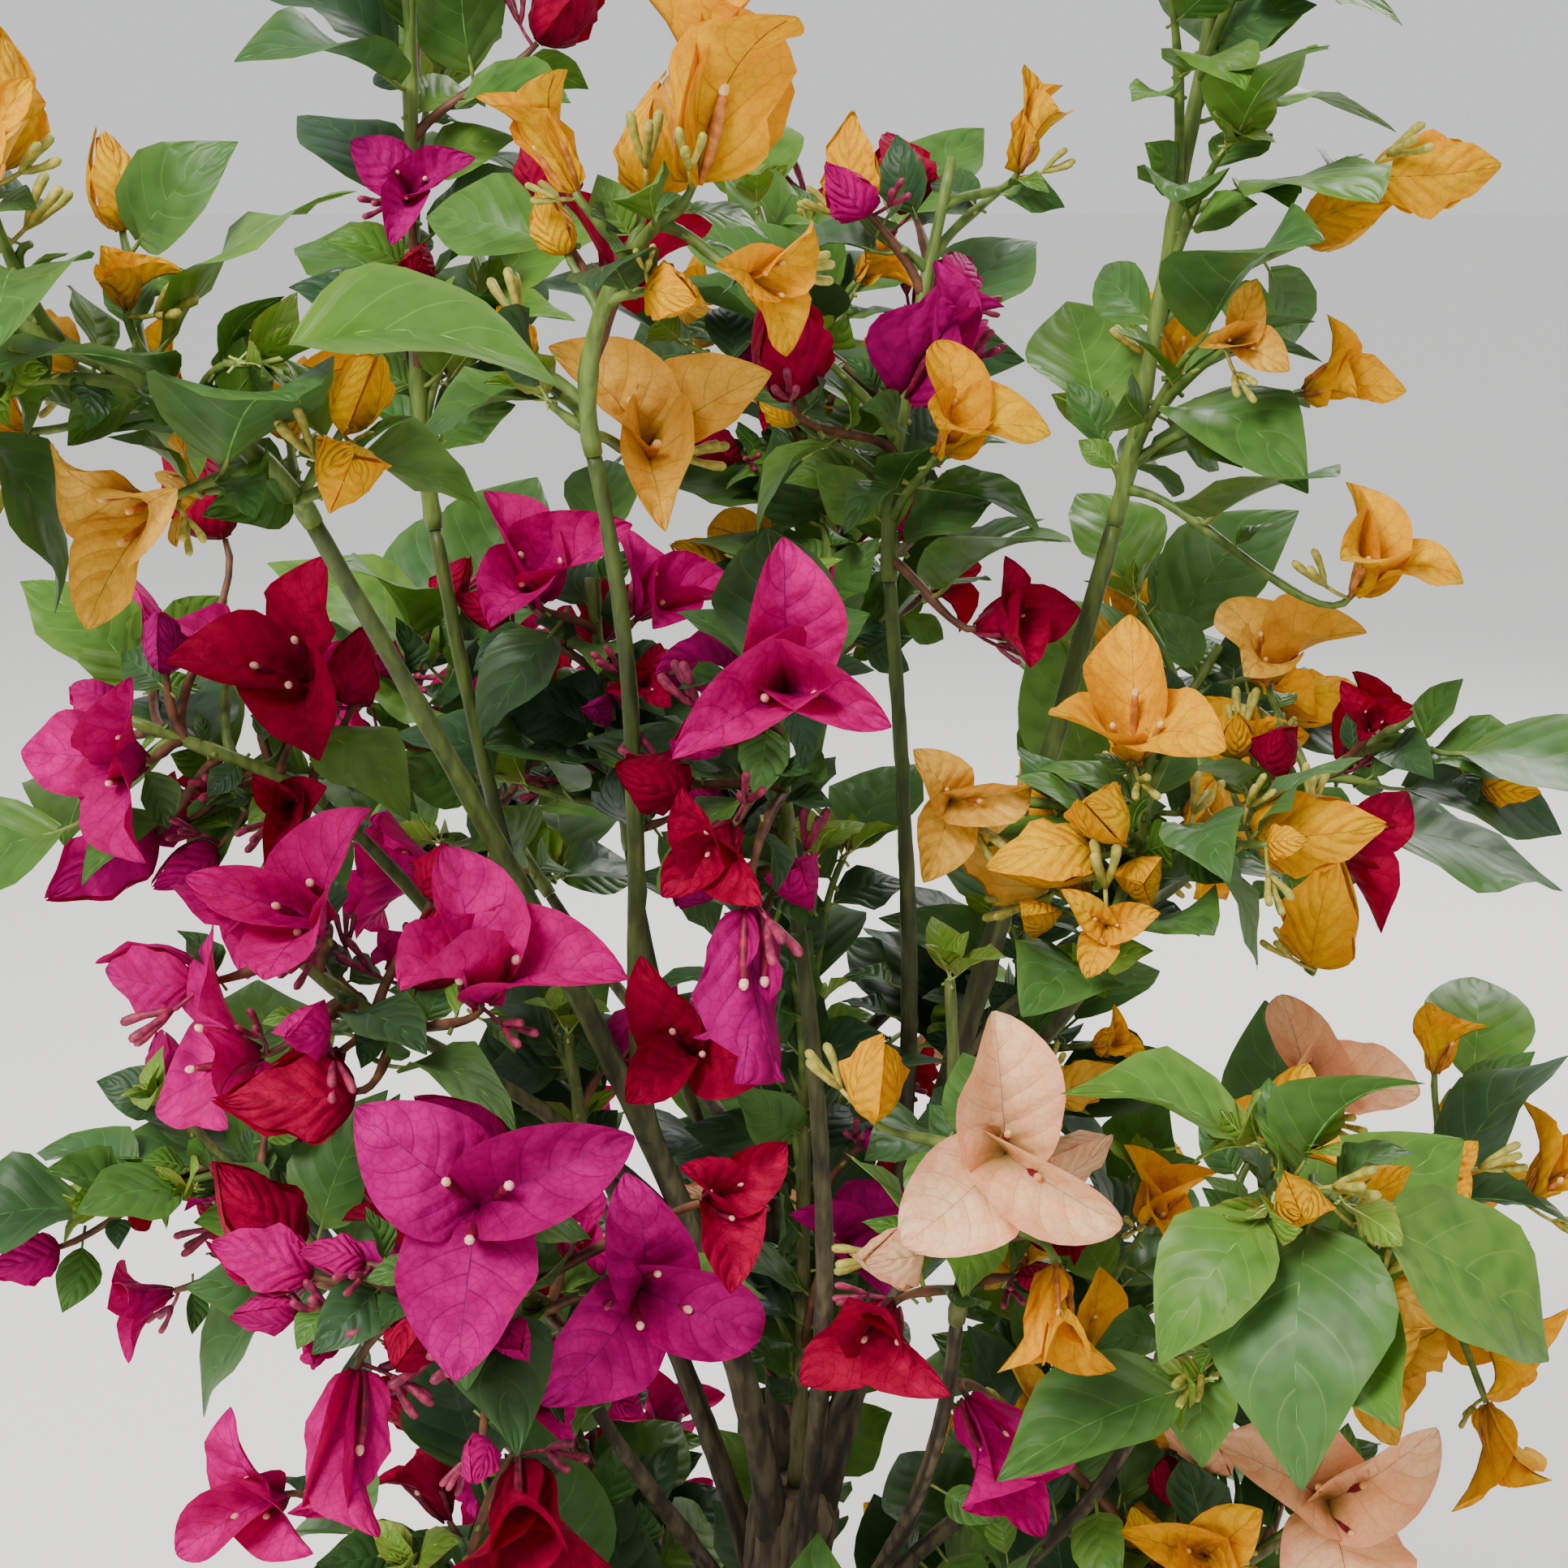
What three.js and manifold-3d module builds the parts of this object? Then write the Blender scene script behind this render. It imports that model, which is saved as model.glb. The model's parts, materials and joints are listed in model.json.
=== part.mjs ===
// A bougainvillea bush, rooted in the ground: a short woody trunk with a root flare, tapering boughs
// that fork from it, and sprays of twigs with heart-shaped leaves and three-bracted blossoms.
// Millimetres, +Z up, the origin in the middle of the flat cut under the trunk, +X to the viewer's right.
import * as THREE from "three";
import { mergeVertices } from "three/addons/utils/BufferGeometryUtils.js";
import Module from "manifold-3d";

const wasm = await Module();
wasm.setup();

// Driving dimensions
const CLEARANCE = 0.3; // between a limb and what it carries
const TRUNK_HEIGHT = 196;
const TRUNK_FOOT_RADIUS = 24; // across the root flare at the ground
const TRUNK_WAIST_RADIUS = 13.5; // just above the flare
const TRUNK_FORK_RADIUS = 12.5;
const TRUNK_LEAN = 5; // how far the axis bows aside on its way up
const FLARE_HEIGHT = 46;
const FLARE_LOBES = 5;
const FLARE_DEPTH = 0.2; // how deep the grooves between the roots are, as a share of the radius
const TRUNK_RINGS = 9;
const TRUNK_SIDES = 10;
const LIMB_SIDES = 6;
const LIMB_LEAN = 1.5; // how much more a limb leans its own way where it forks than its parent's
const ON_TRUNK = 0.6; // how far out on the trunk a limb starts, as a share of the trunk's radius
const LIMB_RING = 56; // from ring to ring along a bough
const STEM_SIDES = 4;
const TWIG_SIDES = 3;
const TWIG_RADIUS = 1.5;
const INTERNODE = 27; // from leaf to leaf along a stem or twig
const LEAF_LENGTH = 60;
const LEAF_WIDTH = 0.68; // these are shares of the blade's length
const LEAF_WIDEST = 0.4;
const LEAF_FOLD = 0.12;
const LEAF_ROOT = 2.6; // the height of a leaf's root on its twig
const NECK = 3.5; // from a blade's foot to where it is tested against others
const LAYER = 1.3; // how far from a blade others are kept
const BRACT_WIDTH = 0.76;
const BRACT_WIDEST = 0.42;
const BRACT_FOLD = 0.06;
const BRACT_ROOM = 3.2; // a bract's width against its distance from the axis, so that the three don't cross
const THROAT = 4.5; // how far the inner side of a blossom's throat stands above its foot
const LANTERN_OPEN = 20; // degrees from a closed blossom's axis to its bracts
const LANTERN_KEEL = 0.36; // how far its edges and its sides stand out, as shares of its length
const LANTERN_FLANK = 0.24;
const SPACE_MARGIN = 1.2; // from a spray to the middle surface between it and its neighbour
const LIMB_MARGIN = 1.2; // from a leaf or twig to a limb's bark
const GOLDEN_ANGLE = 2.399963;
const NAMED_TRIES = 12;
const RULED_TRIES = 12;
const LEAF_TRIES = 6;
const FIRST_SEED = 27;

const COLOURS = {
  bark: 0x7a5c44,
  magenta: 0xc0107c,
  gold: 0xdf9218,
  peach: 0xedbd98,
  green: 0x3f6b35,
};

const v = (x, y, z) => new THREE.Vector3(x, y, z);
const UP = v(0, 0, 1);
const LEAF_FACE = v(0.1, -0.45, 1); // the upper side of a leaf at a twig's end looks this way

// What a twig carries at its end: a blossom whose three bracts, each size long, stand open degrees from
// its axis, or one leaf.
const blossom = (x, y, z, face, size, open) => ({ kind: "blossom", at: v(x, y, z), face: v(...face), size, open });
const lantern = (x, y, z, face, size) => ({ kind: "lantern", at: v(x, y, z), face: v(...face), size, open: LANTERN_OPEN });
const leaf = (x, y, z, face, size) => ({ kind: "leaf", at: v(x, y, z), face: v(...face), size });

// Boughs. Each springs from the trunk, or from another bough, at a share of its length, heads for one
// point and ends at its tip, tapering between two radii.
const BOUGHS = {
  left: { from: "trunk", at: 0.95, via: v(-46, -66, 352), tip: v(-104, -128, 486), radii: [5.4, 2.6] },
  right: { from: "trunk", at: 0.95, via: v(54, 4, 330), tip: v(88, 2, 470), radii: [5.8, 3] },
  back: { from: "trunk", at: 0.94, via: v(-12, 58, 300), tip: v(12, 92, 404), radii: [5.2, 2.8] },
  leader: { from: "trunk", at: 0.84, via: v(-70, 24, 300), tip: v(-96, 26, 466), radii: [4.2, 2.4] },
  centre: { from: "trunk", at: 0.8, via: v(18, -66, 276), tip: v(2, -60, 388), radii: [4.2, 2.3] },
  magenta_low: { from: "trunk", at: 0.74, via: v(-44, -58, 222), tip: v(-56, -94, 284), radii: [3.8, 2.2] },
  peach: { from: "trunk", at: 0.68, via: v(40, -66, 206), tip: v(42, -104, 288), radii: [3.8, 2.2] },
  leafy: { from: "trunk", at: 0.62, via: v(80, -66, 196), tip: v(92, -104, 276), radii: [3.8, 2.2] },
  east: { from: "trunk", at: 0.72, via: v(84, -2, 208), tip: v(136, -8, 262), radii: [3.8, 2.2] },
  west_low: { from: "trunk", at: 0.66, via: v(-66, -8, 196), tip: v(-116, -22, 262), radii: [3.8, 2.2] },
  crest: { from: "left", at: 0.5, via: v(-30, -80, 424), tip: v(-44, -96, 498), radii: [3.4, 2.2] },
  magenta_high: { from: "left", at: 0.36, via: v(-66, -72, 336), tip: v(-88, -92, 356), radii: [3, 2.1] },
  west: { from: "leader", at: 0.5, via: v(-96, 4, 366), tip: v(-122, -16, 398), radii: [3, 2.1] },
  top: { from: "right", at: 0.34, via: v(34, -6, 380), tip: v(28, -6, 456), radii: [3.4, 2.2] },
  gold: { from: "right", at: 0.44, via: v(74, -30, 336), tip: v(84, -60, 374), radii: [3.2, 2.1] },
  outer: { from: "right", at: 0.56, via: v(96, 12, 356), tip: v(124, 8, 384), radii: [3, 2.1] },
  inner: { from: "back", at: 0.3, via: v(-36, 44, 300), tip: v(-44, 40, 372), radii: [3.2, 2.2] },
  heart_left: { from: "left", at: 0.22, via: v(-40, -38, 276), tip: v(-50, -46, 300), radii: [2.8, 2] },
  heart_right: { from: "right", at: 0.22, via: v(46, 16, 272), tip: v(60, 24, 298), radii: [2.8, 2] },
  heart_front: { from: "centre", at: 0.34, via: v(34, -46, 276), tip: v(42, -54, 304), radii: [2.8, 2] },
  back_west: { from: "back", at: 0.44, via: v(-44, 84, 304), tip: v(-72, 98, 344), radii: [3.1, 2.1] },
  back_east: { from: "back", at: 0.5, via: v(46, 84, 322), tip: v(82, 92, 356), radii: [3.1, 2.1] },
};

// Sprays. Each grows from the tip of a bough, or from the trunk at a share of its height, along a stem by
// way of one point to its own end. reach is how far its twigs stand out from the stem, twigs how many
// grow by the rule besides those with the named blossoms and leaves, bloom the share of them in blossom.
const SPRAYS = {
  left_arch: {
    from: "left", via: v(-134, -160, 524), end: v(-196, -168, 546), reach: 48, twigs: 4, bloom: 0.4, hue: "gold",
    named: [
      leaf(-112, -168, 524, [1, -0.25, 0.1], 68), leaf(-152, -172, 548, [1, -0.2, 0.1], 50),
      lantern(-168, -140, 562, [0.1, 0.1, 1], 31), lantern(-188, -134, 506, [-0.4, 0.3, 0.9], 32),
    ],
  },
  left_leader: {
    from: "leader", via: v(-100, 28, 580), end: v(-97, 32, 694), reach: 44, twigs: 4, bloom: 0.2, hue: "magenta",
    named: [lantern(-66, 32, 596, [0.6, 0, 0.7], 28)],
  },
  right_leader: {
    from: "right", via: v(104, 0, 590), end: v(130, 2, 704), reach: 56, twigs: 6, bloom: 0.1, hue: "green",
    named: [
      lantern(152, -2, 562, [1, 0, 0.05], 33), blossom(146, -30, 456, [0.35, -0.45, 0.8], 34, 38),
      blossom(108, 32, 508, [-0.1, -0.3, 1], 30, 28),
    ],
  },
  crest: {
    from: "crest", via: v(-44, -110, 540), end: v(-22, -116, 556), reach: 52, twigs: 3, bloom: 0.6, hue: "gold",
    named: [
      blossom(-20, -118, 560, [0.15, -0.1, 1], 50, 20), blossom(-46, -116, 558, [-0.45, -0.1, 0.9], 31, 22),
      blossom(-8, -124, 540, [0.8, -0.7, 0], 26, 60), blossom(-34, -60, 496, [0.2, -0.7, 0.5], 40, 50),
    ],
  },
  top: {
    from: "top", via: v(34, 0, 520), end: v(44, 4, 566), reach: 56, twigs: 5, bloom: 0.5, hue: "magenta",
    named: [
      blossom(32, -2, 504, [0.45, -0.25, 0.9], 38, 24), lantern(2, -34, 506, [-0.15, -0.3, 1], 32),
      lantern(20, 0, 552, [-0.1, 0, 1], 25), blossom(62, 18, 562, [0.3, -0.2, 1], 30, 22),
      blossom(50, -22, 446, [0.6, -0.5, 0.3], 28, 34),
    ],
  },
  back_top: {
    from: "back", via: v(16, 112, 470), end: v(-8, 112, 552), reach: 70, twigs: 10, bloom: 0.5, hue: "magenta", named: [],
  },
  centre: {
    from: "centre", via: v(0, -78, 418), end: v(-2, -84, 462), reach: 50, twigs: 5, bloom: 0.5, hue: "magenta",
    named: [
      blossom(0, -106, 444, [0.1, -0.9, 0.35], 40, 56), blossom(-12, -104, 412, [-0.35, -0.8, -0.3], 27, 42),
      blossom(-8, -118, 396, [0, -0.4, -1], 44, 16),
      blossom(-22, -92, 352, [-0.2, -0.7, 0.3], 30, 44),
    ],
  },
  gold: {
    from: "gold", via: v(88, -78, 396), end: v(88, -86, 432), reach: 50, twigs: 5, bloom: 0.7, hue: "gold",
    named: [
      blossom(84, -84, 424, [-0.05, -0.5, 0.8], 37, 42), lantern(74, -94, 402, [-1, -0.35, 0], 28),
      blossom(40, -84, 414, [0.15, -0.9, 0.1], 28, 54), lantern(112, -88, 408, [1, -0.25, 0.05], 32),
    ],
  },
  outer: {
    from: "outer", via: v(150, 8, 400), end: v(172, 4, 420), reach: 50, twigs: 5, bloom: 0.6, hue: "gold",
    named: [
      lantern(140, -32, 358, [0.1, -0.3, 1], 34), blossom(158, 30, 398, [0.3, 0, 1], 30, 24),
      blossom(134, 20, 424, [0, -0.5, 0.9], 32, 44),
    ],
  },
  magenta_high: {
    from: "magenta_high", via: v(-104, -104, 368), end: v(-124, -104, 388), reach: 50, twigs: 5, bloom: 0.7, hue: "magenta",
    named: [
      blossom(-70, -122, 374, [0.05, -0.6, 0.8], 44, 44), blossom(-108, -104, 388, [-0.45, -0.8, 0.5], 36, 52),
      blossom(-126, -98, 354, [-0.85, -0.5, 0.1], 38, 54), lantern(-100, -120, 352, [-0.9, -0.4, 0.1], 32),
    ],
  },
  magenta_low: {
    from: "magenta_low", via: v(-72, -122, 300), end: v(-84, -136, 316), reach: 50, twigs: 5, bloom: 0.7, hue: "magenta",
    named: [
      blossom(-69, -148, 334, [0.05, -0.9, 0.4], 42, 64), blossom(-34, -122, 304, [0.3, -0.7, 0.1], 40, 58),
      lantern(-122, -96, 300, [-0.5, -0.3, 1], 33), blossom(-100, -132, 288, [-0.15, -0.5, -1], 42, 16),
      blossom(-18, -128, 328, [0.5, -0.8, 0.4], 24, 50),
    ],
  },
  west: {
    from: "west", via: v(-148, -28, 414), end: v(-170, -32, 424), reach: 50, twigs: 5, bloom: 0.6, hue: "magenta",
    named: [
      blossom(-164, -38, 414, [-0.5, -0.7, 0.2], 34, 56), blossom(-122, -34, 434, [-0.3, -0.7, 0.4], 38, 46),
      blossom(-132, -30, 380, [-0.5, -0.7, -0.2], 30, 44), lantern(-150, 6, 466, [-0.4, 0, 1], 31),
    ],
  },
  north_west: {
    from: "inner", via: v(-50, 38, 410), end: v(-54, 30, 452), reach: 56, twigs: 8, bloom: 0.35, hue: "magenta",
    named: [blossom(-68, 24, 446, [0, -0.6, 0.7], 38, 42)],
  },
  peach: {
    from: "peach", via: v(48, -128, 324), end: v(52, -138, 346), reach: 44, twigs: 4, bloom: 0.5, hue: "peach",
    named: [
      blossom(50, -146, 346, [0, -1, 0.15], 38, 60), lantern(20, -136, 352, [0.1, -0.5, 0.9], 24),
      blossom(62, -142, 318, [0, -0.6, -0.8], 30, 28), blossom(26, -122, 300, [-0.3, -0.8, -0.2], 30, 50),
    ],
  },
  leafy: {
    from: "leafy", via: v(106, -138, 322), end: v(114, -160, 350), reach: 54, twigs: 4, bloom: 0.3, hue: "green",
    named: [
      leaf(122, -166, 342, [1, 0.1, -0.7], 66), leaf(106, -172, 344, [-0.6, -0.5, -0.5], 42),
      leaf(104, -164, 354, [-0.9, 0, 0.35], 54),
      blossom(112, -106, 330, [0.3, -0.6, 0.7], 30, 40), leaf(100, -128, 284, [-1, -0.3, -0.3], 56),
    ],
  },
  east: {
    from: "east", via: v(172, -12, 276), end: v(204, -10, 290), reach: 54, twigs: 6, bloom: 0.5, hue: "gold",
    named: [
      blossom(206, -8, 284, [0.6, -0.3, 0.8], 30, 32), blossom(188, -44, 240, [0.35, -0.4, -0.9], 30, 28),
      blossom(142, -16, 314, [0.1, -0.6, 0.7], 34, 44),
    ],
  },
  south_east: {
    from: "trunk", at: 0.5, via: v(82, -46, 160), end: v(142, -84, 232), reach: 56, twigs: 6, bloom: 0.4, hue: "peach",
    named: [
      blossom(138, -86, 232, [0.1, -0.8, 0.4], 40, 56), lantern(136, -62, 258, [-0.1, -0.6, 0.3], 30),
      blossom(106, -96, 222, [-0.1, -0.8, 0.4], 32, 40), blossom(46, -90, 262, [0.4, -0.7, -0.4], 40, 18),
    ],
  },
  south_west: {
    from: "trunk", at: 0.56, via: v(-58, -56, 168), end: v(-92, -102, 222), reach: 54, twigs: 6, bloom: 0.5, hue: "magenta",
    named: [blossom(-66, -96, 248, [0.1, -0.7, -0.4], 40, 40), blossom(-126, -90, 236, [-0.5, -0.8, 0.2], 34, 48)],
  },
  south: {
    from: "trunk", at: 0.46, via: v(6, -64, 134), end: v(10, -118, 190), reach: 58, twigs: 8, bloom: 0.1, hue: "green", named: [],
  },
  west_low: {
    from: "west_low", via: v(-142, -26, 292), end: v(-164, -30, 318), reach: 60, twigs: 9, bloom: 0.45, hue: "magenta",
    named: [],
  },
  heart_left: {
    from: "heart_left", via: v(-52, -48, 320), end: v(-56, -48, 344), reach: 50, twigs: 6, bloom: 0.15, hue: "green", named: [],
  },
  heart_right: {
    from: "heart_right", via: v(66, 30, 320), end: v(70, 32, 352), reach: 52, twigs: 8, bloom: 0.15, hue: "green", named: [],
  },
  heart_front: {
    from: "heart_front", via: v(44, -58, 330), end: v(42, -60, 362), reach: 50, twigs: 6, bloom: 0.15, hue: "green", named: [],
  },
  heart: {
    from: "trunk", at: 1, via: v(4, 0, 290), end: v(8, -6, 380), reach: 50, twigs: 8, bloom: 0.1, hue: "green", named: [],
  },
  back_west: {
    from: "back_west", via: v(-100, 114, 380), end: v(-124, 120, 420), reach: 66, twigs: 10, bloom: 0.5, hue: "magenta", named: [],
  },
  back_east: {
    from: "back_east", via: v(112, 108, 380), end: v(134, 112, 420), reach: 64, twigs: 10, bloom: 0.5, hue: "gold", named: [],
  },
  back_middle: {
    from: "trunk", at: 0.64, via: v(4, 62, 214), end: v(10, 122, 300), reach: 60, twigs: 10, bloom: 0.4, hue: "peach", named: [],
  },
  back_low_west: {
    from: "trunk", at: 0.52, via: v(-72, 72, 166), end: v(-104, 118, 256), reach: 64, twigs: 9, bloom: 0.4, hue: "magenta", named: [],
  },
  back_low_east: {
    from: "trunk", at: 0.44, via: v(78, 70, 154), end: v(112, 108, 250), reach: 64, twigs: 10, bloom: 0.4, hue: "gold", named: [],
  },
};

// The same number for the same seed every time, from 0 to 1: a linear congruential generator.
function dice(seed) {
  let state = Math.imul(seed, 2654435761) >>> 0;
  return () => {
    state = (Math.imul(state, 1664525) + 1013904223) >>> 0;
    return state / 4294967296;
  };
}

// A closed shape as a solid that can be joined and cut, from its corners and its outward faces.
function solid({ corners, faces }) {
  const loose = new THREE.BufferGeometry().setFromPoints(corners).setIndex(faces.flat());
  const { attributes, index } = mergeVertices(loose, 1e-4);
  return new wasm.Manifold(
    new wasm.Mesh({
      numProp: 3,
      vertProperties: new Float32Array(attributes.position.array),
      triVerts: new Uint32Array(index.array),
    }),
  );
}

function geometryOf(manifold) {
  const mesh = manifold.getMesh();
  return new THREE.BufferGeometry()
    .setAttribute("position", new THREE.BufferAttribute(mesh.vertProperties, 3))
    .setIndex(new THREE.BufferAttribute(mesh.triVerts, 1));
}

// Two unit vectors square to an axis, the second as near a wish as it can be.
function squareTo(axis, wish) {
  const z = wish.clone().addScaledVector(axis, -axis.dot(wish));
  if (z.lengthSq() < 1e-3) z.set(0.3, -0.8, 0.5).addScaledVector(axis, -axis.dot(v(0.3, -0.8, 0.5)));
  z.normalize();
  return [v(0, 0, 0).crossVectors(z, axis), z];
}

const around = ([y, z], angle) => y.clone().multiplyScalar(Math.cos(angle)).addScaledVector(z, Math.sin(angle));

// Points along a curve with the side directions of a ring at each. They are carried back from the far end
// without a twist.
function nodesOf(curve, count) {
  const nodes = [];
  let wish = UP;
  for (let i = count; i >= 0; i--) {
    const along = curve.getTangent(i / count);
    const sides = squareTo(along, wish);
    wish = sides[1];
    nodes.unshift({ at: curve.getPoint(i / count), along, sides });
  }
  return nodes;
}

// A bar whose rings stand at the nodes, open at its far end. Its side k faces the angle turn and k shares of
// the round. radiusAt gives the radius for a share of the length and an angle. Where a node has a leaf, two
// rings stand a root's height apart, and the leaf takes the place of one side between them.
function openBar(nodes, radiusAt, count, turn = 0, leaves = new Map()) {
  const corners = [];
  const faces = [];
  const roots = [];
  const addRing = ({ at, along, sides }, share, shift) => {
    for (let k = 0; k < count; k++) {
      const angle = turn + ((k - 0.5) * 2 * Math.PI) / count;
      const middle = at.clone().addScaledVector(along, shift);
      corners.push(middle.addScaledVector(around(sides, angle), radiusAt(share, angle)));
    }
  };
  nodes.forEach((node, i) => {
    const grown = leaves.get(i);
    if (grown) {
      addRing(node, i / (nodes.length - 1), -LEAF_ROOT / 2);
      roots.push({ ring: corners.length / count - 1, ...grown });
    }
    addRing(node, i / (nodes.length - 1), grown ? LEAF_ROOT / 2 : 0);
  });
  const last = corners.length - count;
  for (let ring = 0; ring < last / count; ring++) {
    const root = roots.find((grown) => grown.ring === ring);
    for (let k = 0; k < count; k++) {
      const [a, b] = [ring * count + k, ring * count + ((k + 1) % count)];
      const loop = [a, b, b + count, a + count];
      if (root?.side === k) faces.push(...bladeOn(corners, loop, root.blade));
      else faces.push([loop[0], loop[1], loop[2]], [loop[0], loop[2], loop[3]]);
    }
  }
  for (let k = 1; k + 1 < count; k++) faces.push([0, k + 1, k]);
  return { corners, faces, last };
}

// Adds a blade's corners to a skin and gives the faces that join it to a loop of corners at its root.
function bladeOn(corners, loop, blade) {
  const { left, right, tip, y } = bladeCorners(blade);
  const leftmost = loop.reduce((a, b) => (corners[a].dot(y) > corners[b].dot(y) ? a : b));
  const first = loop.indexOf(leftmost);
  const [l, over, r, under = r] = [...loop.slice(first), ...loop.slice(0, first)];
  const [a, b, t] = [corners.push(left) - 1, corners.push(right) - 1, corners.push(tip) - 1];
  const faces = [[l, over, a], [over, r, b], [over, b, t], [over, t, a], [under, l, a], [under, a, t], [under, t, b]];
  if (under !== r) faces.push([r, under, b]);
  return faces;
}

function bar(nodes, radiusAt, count, turn, leaves) {
  const { corners, faces, last } = openBar(nodes, radiusAt, count, turn, leaves);
  for (let k = 1; k + 1 < count; k++) faces.push([last, last + k, last + k + 1]);
  return solid({ corners, faces });
}

// The trunk's axis stands square on the ground and leans a little.
const trunkCurve = new THREE.CubicBezierCurve3(
  v(0, 0, 0), v(0, 0, TRUNK_HEIGHT * 0.3), v(-TRUNK_LEAN, TRUNK_LEAN / 2, TRUNK_HEIGHT * 0.6), v(3, -2, TRUNK_HEIGHT),
);

function trunkRadius(share, angle) {
  const height = trunkCurve.getPoint(share).z;
  const flare = Math.max(0, 1 - height / FLARE_HEIGHT) ** 2;
  const plain = TRUNK_WAIST_RADIUS + (TRUNK_FORK_RADIUS - TRUNK_WAIST_RADIUS) * share;
  return (plain + (TRUNK_FOOT_RADIUS - TRUNK_WAIST_RADIUS) * flare) * (1 + FLARE_DEPTH * flare * Math.cos(FLARE_LOBES * angle));
}

// A limb that springs from another heads at first between that limb's way and its own.
function curveFrom(start, along, via, end) {
  const leave = via.clone().sub(start).normalize().multiplyScalar(LIMB_LEAN).add(along).normalize();
  return new THREE.CubicBezierCurve3(start, start.clone().addScaledVector(leave, start.distanceTo(via) * 0.5), via, end);
}

const limbs = { trunk: { curve: trunkCurve, radii: [TRUNK_WAIST_RADIUS, TRUNK_FORK_RADIUS] } };

// Where a limb leaves the trunk it starts towards the side that it heads for.
function startOn(parent, share, via) {
  const { curve } = limbs[parent];
  const start = curve.getPoint(share);
  if (parent !== "trunk") return start;
  const side = via.clone().sub(start).setZ(0).normalize();
  return start.addScaledVector(side, ON_TRUNK * TRUNK_FORK_RADIUS);
}

for (const [name, { from, at, via, tip, radii }] of Object.entries(BOUGHS)) {
  const start = startOn(from, at, via);
  const along = limbs[from].curve.getTangent(at);
  limbs[name] = { curve: curveFrom(start, along, via, tip), radii };
}

function limbSolid(name, extra = 0) {
  const { curve, radii } = limbs[name];
  if (name === "trunk") {
    return bar(nodesOf(curve, TRUNK_RINGS), (share, angle) => trunkRadius(share, angle) + extra, TRUNK_SIDES);
  }
  const nodes = nodesOf(curve, Math.max(4, Math.round(curve.getLength() / LIMB_RING)));
  return bar(nodes, (share) => radii[0] + (radii[1] - radii[0]) * share + extra, LIMB_SIDES);
}

// Beads along every limb, close enough together to keep leaves and twigs off its bark.
const BEADS = 64;
const beads = Object.values(limbs).flatMap(({ curve, radii }) =>
  Array.from({ length: BEADS + 1 }, (_, i) => ({
    at: curve.getPoint(i / BEADS), radius: radii[0] + (radii[1] - radii[0]) * (i / BEADS),
  })),
);

function clearOfLimbs(point) {
  return beads.every(({ at, radius }) => at.distanceTo(point) > radius + TWIG_RADIUS + LIMB_MARGIN);
}

// A spray's stem, and its posts: the points that its space lies round.
function layOut(spray) {
  const { from, at = 1, via, end } = spray;
  const along = limbs[from].curve.getTangent(at);
  if (at < 1) spray.curve = curveFrom(startOn(from, at, via), along, via, end);
  else {
    const start = limbs[from].curve.getPoint(1).addScaledVector(along, CLEARANCE);
    spray.curve = new THREE.CubicBezierCurve3(
      start, start.clone().addScaledVector(along, start.distanceTo(via) * 0.4), via, end,
    );
  }
  spray.length = spray.curve.getLength();
  spray.radii = at < 1 ? [3.2, 1.5] : [Math.min(2.4, limbs[from].radii[1]), 1.4];
  spray.nodes = nodesOf(spray.curve, Math.max(3, Math.round(spray.length / INTERNODE)));
  spray.posts = spray.nodes.slice(1).map((node) => node.at);
  for (const { at: foot, face, size, open } of spray.named) {
    const middle = foot.clone().addScaledVector(face.clone().normalize(), size * 0.5);
    const near = spray.nodes.reduce((a, b) => (a.at.distanceTo(foot) < b.at.distanceTo(foot) ? a : b));
    spray.posts.push(foot, middle, near.at.clone().lerp(foot, 0.5));
    if (open) spray.posts.push(...bractBlades({ at: foot, face, size, open }, 0).map(({ along }) => foot.clone().addScaledVector(along, size * 0.7)));
  }
}

Object.values(SPRAYS).forEach(layOut);

const fromPosts = (spray, point) => Math.min(...spray.posts.map((post) => post.distanceTo(point)));

// A spray's own space is where one of its posts is nearer than any other spray's.
function inOwnSpace(spray, point) {
  const own = fromPosts(spray, point);
  return Object.values(SPRAYS).every((other) => other === spray || fromPosts(other, point) - own > 2 * SPACE_MARGIN);
}

// A blade is a leaf or a bract: a kite, folded along its midrib, thick at its root and sharp at its tip.
function bladeCorners({ foot, along, face, length, width, widest, fold }) {
  const x = along.clone().normalize();
  const [y, z] = squareTo(x, face);
  const at = (a, b, c) => foot.clone().addScaledVector(x, a).addScaledVector(y, b).addScaledVector(z, c);
  const half = (length * width) / 2;
  return {
    x, y, z,
    neck: at(NECK, 0, 0),
    tip: at(length, 0, 0),
    left: at(length * widest, half, fold * length),
    right: at(length * widest, -half, fold * length),
  };
}

const leafBlade = (foot, along, face, length) => ({
  foot, along, face, length, width: LEAF_WIDTH, widest: LEAF_WIDEST, fold: LEAF_FOLD,
});

// The three bracts of a blossom round its axis.
function bractBlades({ at, face, size, open }, turn) {
  const axis = face.clone().normalize();
  const sides = squareTo(axis, UP);
  const tilt = THREE.MathUtils.degToRad(open);
  const width = Math.min(BRACT_WIDTH, BRACT_ROOM * BRACT_WIDEST * Math.sin(tilt));
  return [0, 1, 2].map((i) => {
    const out = around(sides, turn + (i * 2 * Math.PI) / 3);
    return {
      foot: at,
      along: axis.clone().multiplyScalar(Math.cos(tilt)).addScaledVector(out, Math.sin(tilt)),
      face: axis.clone().multiplyScalar(Math.sin(tilt)).addScaledVector(out, -Math.cos(tilt)),
      length: size, width, widest: BRACT_WIDEST, fold: width < BRACT_WIDTH ? 0 : BRACT_FOLD,
    };
  });
}

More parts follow.
